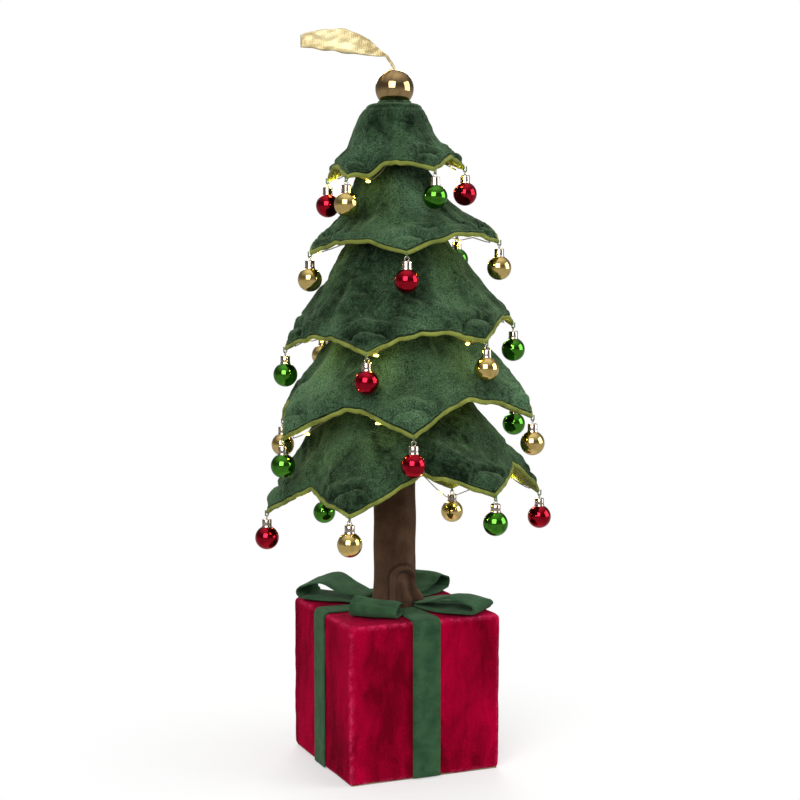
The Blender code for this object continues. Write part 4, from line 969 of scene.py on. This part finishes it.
def tube_along(path, radius, sides):
    """Round tube: circles set square to a path of points, in frames from the tangent and a fixed side
    vector. radius is a number or one value per point."""
    path = np.asarray(path, float)
    tangent = np.gradient(path, axis=0)
    tangent = tangent / np.maximum(np.linalg.norm(tangent, axis=1, keepdims=True), 1e-12)
    guide = np.where(abs(tangent[:, 2:]) > 0.9, np.array([[1.0, 0.13, 0.0]]), np.array([[0.0, 0.0, 1.0]]))
    first = np.cross(tangent, guide)
    first = first / np.linalg.norm(first, axis=1, keepdims=True)
    second = np.cross(tangent, first)
    turn = np.arange(sides) * 2 * math.pi / sides
    ring = first[:, None] * np.cos(turn)[None, :, None] + second[:, None] * np.sin(turn)[None, :, None]
    return path[:, None] + ring * np.broadcast_to(np.asarray(radius, float), len(path))[:, None, None]


def thread_loops(tier):
    """A U of thread under each tip, its bar on the bauble's swing axis."""
    threads = []
    half, legs = RING_WIRE + GAP + THREAD_RADIUS, UP * (THREAD_DROP + LINING_EDGE / 2)
    for number in range(TIER_POINTS[tier]):
        centre, angle = pivot(tier, number)
        out = around_tree(np.array([angle]))[0]
        bend = [centre - out * half * math.cos(t) + UP * half * (1 - math.sin(t))
                for t in np.linspace(0, math.pi, 9)]
        path = [centre - out * half + legs] + bend + [centre + out * half + legs]
        threads.append(skin("thread", tube_along(path, THREAD_RADIUS, 8), around=True, caps=True))
    dress(join(f"tier_{tier + 1}_threads", threads), GREEN_THREAD, "green_velvet")


for tier in range(5):
    tier_lining(tier)
for tier in range(5):
    thread_loops(tier)

# Baubles: blown plastic balls 19 mm across with a mirror lacquer in red, green or gold. Each has a fluted
# silver cap and a wire ring, and hangs from the thread loop on its point.
BAUBLE_RADIUS = 0.0094
BAUBLE_DROP = 0.0170
CAP_RADIUS = 0.0037
CAP_TOP_DROP = 0.0020
RING_RADIUS = 0.0017
BAUBLE_FINISHES = (
    ("gold", "green", "red", "green", "red"),
    ("red", "gold", "green", "red", "gold"),
    ("red", "gold", "green", "red", "gold", "green"),
    ("red", "gold", "green", "red", "gold", "green"),
    ("gold", "green", "red", "gold", "green", "red"),
)


def wear_group():
    """Handled lacquer: faint smudges as one mask, and a very shallow height."""
    group, start, end = effect_group("handled_lacquer", {"Smudge Scale": 140.0}, ("Smudges", "Height"))
    smudges = noise_of(group, object_place(group), start["Smudge Scale"], 4.0, 1.0)
    feed(group, end, {"Smudges": spread(group, smudges, 0.45, 0.75), "Height": smudges})
    return group


HANDLED_LACQUER = wear_group()


def lacquer(name, dark, light, low=0.06, high=0.20, bump=0.00003):
    """Mirror finish: metal whose colour and roughness follow the smudges."""
    material, tree, shader = plain_material(name, light, low, Metallic=1.0)
    group = place_group(tree, HANDLED_LACQUER)
    rough = add_node(tree, "MapRange", {"Value": group["Smudges"], "To Min": low, "To Max": high})
    feed(tree, shader, {"Base Color": shade_between(tree, group["Smudges"], light, dark),
                        "Roughness": rough.outputs["Result"]})
    relief(tree, shader, group["Height"], bump)
    return material


LACQUERS = {
    "red": lacquer("red", (0.30, 0.004, 0.014), (0.47, 0.010, 0.026)),
    "green": lacquer("green", (0.045, 0.180, 0.012), (0.085, 0.320, 0.030)),
    "gold": lacquer("gold", (0.66, 0.45, 0.13), (0.92, 0.68, 0.25)),
}
CAP_SILVER = lacquer("cap_silver", (0.40, 0.32, 0.26), (0.70, 0.60, 0.51), 0.12, 0.28, 0.00005)


def bauble_grids():
    """Ball with its cap's seat as one turned profile, the cap as a fluted cup with a rolled foot and the
    ring as a tube round a circle. All hang from the origin, and the ring stands across the Y axis."""
    turn = np.linspace(0, 2 * math.pi, 33)[:-1]
    around = around_tree(turn)
    rise = np.linspace(0.30, math.pi - 0.03, 22)
    profile = np.stack([BAUBLE_RADIUS * np.sin(rise), -BAUBLE_DROP + BAUBLE_RADIUS * np.cos(rise)], 1)
    ball = around[None] * profile[:, None, :1] + UP * profile[:, None, 1:]
    seat = -BAUBLE_DROP + math.sqrt(BAUBLE_RADIUS ** 2 - CAP_RADIUS ** 2)
    top = -CAP_TOP_DROP
    cup = np.array([(0.0008, top + 0.0001), (CAP_RADIUS * 0.76, top), (CAP_RADIUS * 0.92, top - 0.0003),
                    (CAP_RADIUS, top - 0.0009), (CAP_RADIUS, seat + 0.0016),
                    (CAP_RADIUS * 1.01, seat + 0.0010), (CAP_RADIUS * 1.08, seat + 0.0004),
                    (CAP_RADIUS * 1.10, seat - 0.0001), (CAP_RADIUS * 0.95, seat - 0.0005)])
    fine = np.linspace(0, 2 * math.pi, 49)[:-1]
    flute = 1 + 0.016 * np.cos(12 * fine)[None] * np.array([0, 0, 0.4, 1, 1, 1, 1.3, 1.3, 0])[:, None]
    cap = around_tree(fine)[None] * (cup[:, None, 0] * flute)[..., None] + UP * cup[:, None, 1:]
    circle = np.linspace(0, 2 * math.pi, 21)
    middle = np.array([0, 0, THREAD_RADIUS + GAP + RING_WIRE - RING_RADIUS])
    lean = np.stack([np.sin(circle), 0 * circle, np.cos(circle)], 1)
    small = (np.arange(8) * math.pi / 4)[None, :, None]
    ring = lean[:, None] * np.cos(small) + np.array([0, 1.0, 0]) * np.sin(small)
    ring = (middle + RING_RADIUS * lean)[:, None] + RING_WIRE * ring
    return ball, cap, ring[:-1]


def hang_bauble(tier, number, grids):
    """Places one bauble's grids at its pivot, turned with its tip, as one piece of two materials."""
    place, angle = pivot(tier, number)
    body = f"bauble_{tier + 1}_{number + 1}"
    parts = []
    for grid, closing, metal in zip(grids, ({"caps": True}, {"caps": True}, {"along": True}), (0, 1, 1)):
        points = turned_by(grid.reshape(-1, 3), math.degrees(angle)).reshape(grid.shape) + place
        part = skin("part", points, around=True, **closing)
        part.data.polygons.foreach_set("material_index", [metal] * len(part.data.polygons))
        parts.append(part)
    piece = join(body + "_ball", parts)
    finish = BAUBLE_FINISHES[tier][number]
    piece.data.materials.append(LACQUERS[finish])
    piece.data.materials.append(CAP_SILVER)
    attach(piece, body)
    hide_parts(body)


grids = bauble_grids()
for tier in range(5):
    for number in range(TIER_POINTS[tier]):
        hang_bauble(tier, number, grids)

# Top ball: a gold mirror ball 30 mm across that sits in the collar of the top tier, with a thin gold
# thread across its crown that holds the hanging ribbon.
BRONZE_GOLD = lacquer("bronze_gold", (0.36, 0.23, 0.10), (0.52, 0.35, 0.16), 0.04, 0.13)
GOLD_THREAD = plain_material("gold_thread", (0.72, 0.52, 0.16), 0.32, Metallic=0.7)[0]
GOLD_THREAD_RADIUS, GOLD_THREAD_LIFT = 0.0003, 0.00035
THREAD_OVER_BALL = ((-68.0, 62.0), (-64.0, 45.0), (-58.0, 28.0), (-40.0, 12.0), (20.0, 3.0))


def top_ball():
    """Turned profile: radius times sine and cosine of the angle from the top."""
    rise = np.linspace(0.02, math.pi - 0.02, 40)
    turn = np.linspace(0, 2 * math.pi, 65)[:-1]
    grid = around_tree(turn)[None] * (BALL_RADIUS * np.sin(rise))[:, None, None]
    grid = grid + UP * (BALL_HEIGHT + BALL_RADIUS * np.cos(rise))[:, None, None]
    piece = shell("gold_top_ball", grid, around=True, caps=True)
    dress(piece, BRONZE_GOLD, "gold", "top_ball")
    marks = round_trip(THREAD_OVER_BALL, 8)
    side, tilt = np.radians(marks[:, 0]), np.radians(marks[:, 1])
    path = around_tree(side) * np.sin(tilt)[:, None] + UP * np.cos(tilt)[:, None]
    path = np.array([0, 0, BALL_HEIGHT]) + path * (BALL_RADIUS + GOLD_THREAD_LIFT)
    thread = shell("ball_thread", tube_along(path, GOLD_THREAD_RADIUS, 8), around=True, caps=True)
    dress(thread, GOLD_THREAD, "gold_ribbon")


top_ball()

# Hanging ribbon: a loop of pale gold organza whose end is pulled through the ball's crown. The loop has
# fallen to the left and lies flat and a little crumpled, its two layers almost together.
RIBBON_TURN = -22.9
RIBBON_STEM = ((0.0, 0.0011), (0.0018, 0.0035), (0.0040, 0.0070), (0.0070, 0.0105), (0.0110, 0.0132))
RIBBON_LEAF = (
    (0.0070, 0.0105, 0.0012), (0.0130, 0.0136, 0.0036), (0.0200, 0.0165, 0.0062), (0.0310, 0.0200, 0.0086),
    (0.0450, 0.0222, 0.0090), (0.0580, 0.0225, 0.0074), (0.0680, 0.0218, 0.0056), (0.0722, 0.0214, 0.0044),
)
RIBBON_SPREAD = 0.0011
RIBBON_WIDTH, RIBBON_WALL, NECK_RADIUS = 0.0184, 0.0003, 0.0011


def organza():
    """Pale gold cloth: a fine weave of a wave texture, crinkles of noise, and a satin gloss."""
    material, tree, shader = plain_material("gold_organza", (0.60, 0.49, 0.24), 0.38,
                                            Metallic=0.25, Sheen_Weight=0.15)
    place = add_node(tree, "Mapping", {"Vector": object_place(tree), "Scale": (0.10, 1.0, 0.7),
                                       "Rotation": (0.0, 0.0, math.radians(-RIBBON_TURN))}).outputs["Vector"]
    crinkle = noise_of(tree, place, 150.0, 3.0, 0.5)
    weave = add_node(tree, "TexWave", {"Vector": place, "Scale": 900.0})
    # painted satin sheen: the colour goes from darker to paler gold over the stretched crinkle noise, in long
    # patches along the ribbon
    colour = shade_between(tree, spread(tree, crinkle, 0.35, 0.65), (0.46, 0.34, 0.14), (0.80, 0.68, 0.36))
    feed(tree, shader, {"Base Color": colour})
    relief(tree, shader, weigh(tree, crinkle, weave.outputs["Fac"], 0.15), 0.0004)
    return material


GOLD_ORGANZA = organza()


def hanging_ribbon():
    """Path out along the front layer, round the end and back, carried across the ribbon's height at each
    point, with crinkles from noise and a wavy edge."""
    top = BALL_HEIGHT + BALL_RADIUS
    leaf = round_trip(RIBBON_LEAF, 7)
    share = np.arange(len(leaf)) / (len(leaf) - 1)
    gap = RIBBON_SPREAD * np.sqrt(np.clip(np.sin(math.pi * (0.08 + 0.84 * share)), 0, 1))
    front = np.column_stack([-leaf[:, 0], -gap, leaf[:, 1:]])
    end = np.array([[-leaf[-1, 0] - RIBBON_SPREAD * 0.8, 0, leaf[-1, 1], leaf[-1, 2]]])
    rear = np.column_stack([-leaf[:, 0], gap, leaf[:, 1:]])[::-1]
    path = np.concatenate([front, end, rear])
    across = np.linspace(-1, 1, 15)
    grid = np.repeat(path[:, None, :3], len(across), 1)
    wave = 1 + 0.05 * soft_noise(grid, 0.02, 41)[:, :1]
    grid[..., 2] += top + path[:, None, 3] * across * wave
    crinkle = soft_noise(grid * np.array([1.0, 0.4, 1.6]), 0.009, 42) * 0.00038
    grid[..., 1] += crinkle
    grid[..., 2] += 0.0004 * soft_noise(grid, 0.012, 43)
    ribbon = skin("organza_loop", turned_by(grid, RIBBON_TURN))
    thicken(ribbon, RIBBON_WALL, 0.0)
    stem = round_trip(RIBBON_STEM, 6)
    line = np.column_stack([-stem[:, 0], 0 * stem[:, 0], top + stem[:, 1]])
    twist = tube_along(line, NECK_RADIUS, 12)
    ribs = 1 + 0.22 * np.sin(np.arange(12) * math.pi / 2 + np.arange(len(line))[:, None] * 0.8)
    twist = line[:, None] + (twist - line[:, None]) * ribs[..., None]
    neck = shell("organza_neck", turned_by(twist, RIBBON_TURN), around=True, caps=True)
    dress(ribbon, GOLD_ORGANZA, "gold_ribbon", "hanger_ribbon")
    dress(neck, GOLD_ORGANZA, "gold_ribbon")


hanging_ribbon()

# Light string: one thin silvery wire from the battery case up the trunk's back and round inside every
# hem, with a drop of clear resin over a warm white diode every few centimetres.
WIRE_RADIUS = 0.0004
LED_RADIUS = 0.0015
LED_DROP = 0.0012
WIRE_CLEARANCE = 0.0009
WIRE_EDGE = -0.45
WIRE_SAG = 0.0138
WIRE_LANE = 0.0030
WIRE_Y = 0.0132
SLIT_LENGTH = 0.012
CASE_TOP = 0.0205
LED_DIRECTIONS = (
    (-48.0, 72.0, 112.0, 150.0, 227.0),
    (22.0, 82.0, 142.0, 202.0, 262.0),
    (-75.0, -36.0, 15.0, 62.0, 117.0, 155.0, 222.0),
    (-72.0, -35.0, 9.0, 62.0, 127.0, 195.0, 242.0),
    (-82.0, -7.0, 90.0, 128.0, 165.0, 227.0),
)
PEEKING = ((-48.0, 72.0), (22.0,), (-75.0, -36.0, 15.0), (-72.0, -35.0), ())
PEEK_DROP, PEEK_WIDTH = 0.0030, 0.15
SAG_START, SAG_END = math.radians(-16.0), math.radians(10.0)
WIRE_INSET = BACKING + LINING_GAP + LINING + WIRE_CLEARANCE + LED_RADIUS
GLOW_POWER, GLOW_COLOUR, GLOW_SIZE = 0.0080, (1.0, 0.80, 0.12), 0.002
GLOW_OUT, GLOW_DROP = 0.0030, 0.0045
WIRE_SILVER = lacquer("wire_silver", (0.20, 0.17, 0.10), (0.34, 0.30, 0.20), 0.3, 0.5)
WARM_DROP = plain_material("warm_drop", (0.9, 0.75, 0.35), 0.25, Emission_Color=(1.0, 0.80, 0.16, 1.0),
                           Emission_Strength=4.0)[0]


def hem_wire(tier, angle):
    """Places of the wire inside the rolled edge: it dips where a drop peeks out under the hem, and hangs in
    a slack bow under the lowest tier."""
    point, normal, down = cone_frame(tier, angle, 1.0)
    place = point - normal * WIRE_INSET + down * (LINING_GAP + LINING_EDGE) * WIRE_EDGE
    for degrees in PEEKING[tier]:
        place[..., 2] -= PEEK_DROP * bump_at(away_from(angle, math.radians(degrees)), 0, PEEK_WIDTH)
    if tier == 4:
        share = (away_from(angle, 0) - SAG_START) / (SAG_END - SAG_START)
        place[..., 2] -= WIRE_SAG * np.sin(math.pi * np.clip(share, 0, 1)) ** 2
    return place


def slope_wire(tier, share, lane):
    """Places of the wire against the lining at the tree's back, on its way to or from the hem."""
    share = np.asarray(share)
    point, normal, _ = cone_frame(tier, math.pi + 0 * share, share)
    return point - normal * WIRE_INSET + np.array([lane, 0.0, 0.0])


def slit_height(tier):
    """Lower end of the slit in the trunk's felt that the wire comes out of."""
    if tier == 4:
        return TIER_TOP_HEIGHT[4] - SLIT_LENGTH * 3
    below = TIER_TOP_HEIGHT[tier + 1]
    return below + (TIER_TOP_HEIGHT[tier] - below - SLIT_LENGTH) / 2


def light_string():
    """Wire as a tube along the route: groove, slit, slope, hem, slope and slit for each tier from the
    lowest up. Drops are small turned pear shapes on the hem's wire."""
    route = [np.array([(0.0, WIRE_Y, CASE_TOP + 0.0006)])]
    drops = []
    for tier in (4, 3, 2, 1, 0):
        low = slit_height(tier)
        high = low + SLIT_LENGTH - WIRE_LANE
        lane = WIRE_LANE / 2
        route.append(np.array([(0.0, WIRE_Y, low - WIRE_LANE), (0.0, WIRE_Y + WIRE_RADIUS, low - WIRE_RADIUS),
                               (0.0, TRUNK_RADIUS + 2 * WIRE_RADIUS, low)]))
        route.append(slope_wire(tier, np.array([0.45, 0.6, 0.75, 0.9]), -lane))
        shift = lane / TIER_TIP_RADIUS[tier]
        round_hem = np.linspace(math.pi + shift, 3 * math.pi - shift, TIER_POINTS[tier] * 12)
        route.append(hem_wire(tier, round_hem))
        for degrees in LED_DIRECTIONS[tier]:
            angle = np.radians(np.array([degrees]))
            drops.append((math.radians(degrees), around_tree(angle)[0], hem_wire(tier, angle)[0]))
        if tier:
            route.append(slope_wire(tier, np.array([0.9, 0.75, 0.6, 0.45]), lane))
            route.append(np.array([(0.0, TRUNK_RADIUS + 2 * WIRE_RADIUS, high),
                                   (0.0, WIRE_Y + WIRE_RADIUS, high + WIRE_RADIUS),
                                   (0.0, WIRE_Y, high + WIRE_LANE)]))
    piece = shell("light_wire", tube_along(np.concatenate(route), WIRE_RADIUS, 6), around=True, caps=True)
    dress(piece, WIRE_SILVER, "wire", "light_string")
    beads = []
    rise = np.linspace(0.15, math.pi - 0.15, 9)[:, None, None]
    turn = np.arange(12)[:, None] * math.pi / 6
    for angle, out, place in drops:
        along = np.array([math.cos(angle), math.sin(angle), 0.0])
        ring = out * np.cos(turn) + UP * np.sin(turn)
        grid = along * (-np.cos(rise) * LED_RADIUS * 1.4) + ring * 0.72 * LED_RADIUS * np.sin(rise)
        beads.append(skin("drop", place - UP * LED_DROP + grid, around=True, caps=True))
    dress(join("warm_drops", beads), WARM_DROP, "wire")
    return drops


for index, (_, out, place) in enumerate(light_string()):
    lamp = show(f"drop_light_{index}", bpy.data.lights.new(f"drop_light_{index}", "POINT"))
    lamp.data.energy, lamp.data.color, lamp.data.shadow_soft_size = GLOW_POWER, GLOW_COLOUR, GLOW_SIZE
    lamp.location = tuple(place + out * GLOW_OUT - UP * GLOW_DROP)

# Inside and underside: a pressed board with a white battery case let into it, two cells, a cover and a
# slide switch. Foam and dowel carry the tree, and none of them shows from the front.
def grainy(name, dark, light, roughness, scale, stretch, bump, **constants):
    """Plain solid stuff with a grain of stretched noise in its colour and height."""
    material, tree, shader = plain_material(name, light, roughness, **constants)
    squeeze = add_node(tree, "Mapping", {"Vector": object_place(tree), "Scale": stretch})
    grain = noise_of(tree, squeeze.outputs[0], scale, 5.0, 0.4)
    feed(tree, shader, {"Base Color": shade_between(tree, spread(tree, grain, 0.3, 0.7), dark, light)})
    relief(tree, shader, grain, bump)
    return material


EVEN, ALONG_GRAIN = (1, 1, 1), (1, 1, 0.06)
INNER_STUFF = (
    (("base_board",), "pressed_board", (0.20, 0.14, 0.08), (0.34, 0.25, 0.16), 0.85, 500.0, EVEN, 0.0002),
    (("box_core",), "white_foam", (0.70, 0.70, 0.66), (0.84, 0.84, 0.80), 0.9, 260.0, EVEN, 0.0006),
    (("trunk_padding",), "sleeve_foam", (0.68, 0.68, 0.62), (0.82, 0.82, 0.78), 0.9, 420.0, EVEN, 0.0004),
    (("trunk_pole",), "birch_dowel", (0.42, 0.27, 0.13), (0.62, 0.44, 0.24), 0.6, 260.0, ALONG_GRAIN, 0.0002),
    (("battery_case",), "white_plastic", (0.74, 0.74, 0.71), (0.80, 0.80, 0.77), 0.42, 800.0, EVEN, 0.00004),
    (("battery_cover",), "cover_plastic", (0.72, 0.72, 0.69), (0.80, 0.80, 0.77), 0.45, 700.0, EVEN, 0.00004),
    (("switch_slider",), "black_plastic", (0.02, 0.02, 0.022), (0.035, 0.035, 0.038), 0.4, 900.0, EVEN,
     0.00003),
    (("battery_1", "battery_2"), "cell_sleeve", (0.07, 0.07, 0.08), (0.12, 0.12, 0.13), 0.3, 400.0, EVEN,
     0.00002),
)
METAL_SHARE = {"cell_sleeve": 0.5}
for owners, name, *look in INNER_STUFF:
    material = grainy(name, *look, Metallic=METAL_SHARE.get(name, 0.0))
    for owner in owners:
        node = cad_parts[owner]
        node.data.materials.clear()
        node.data.materials.append(material)
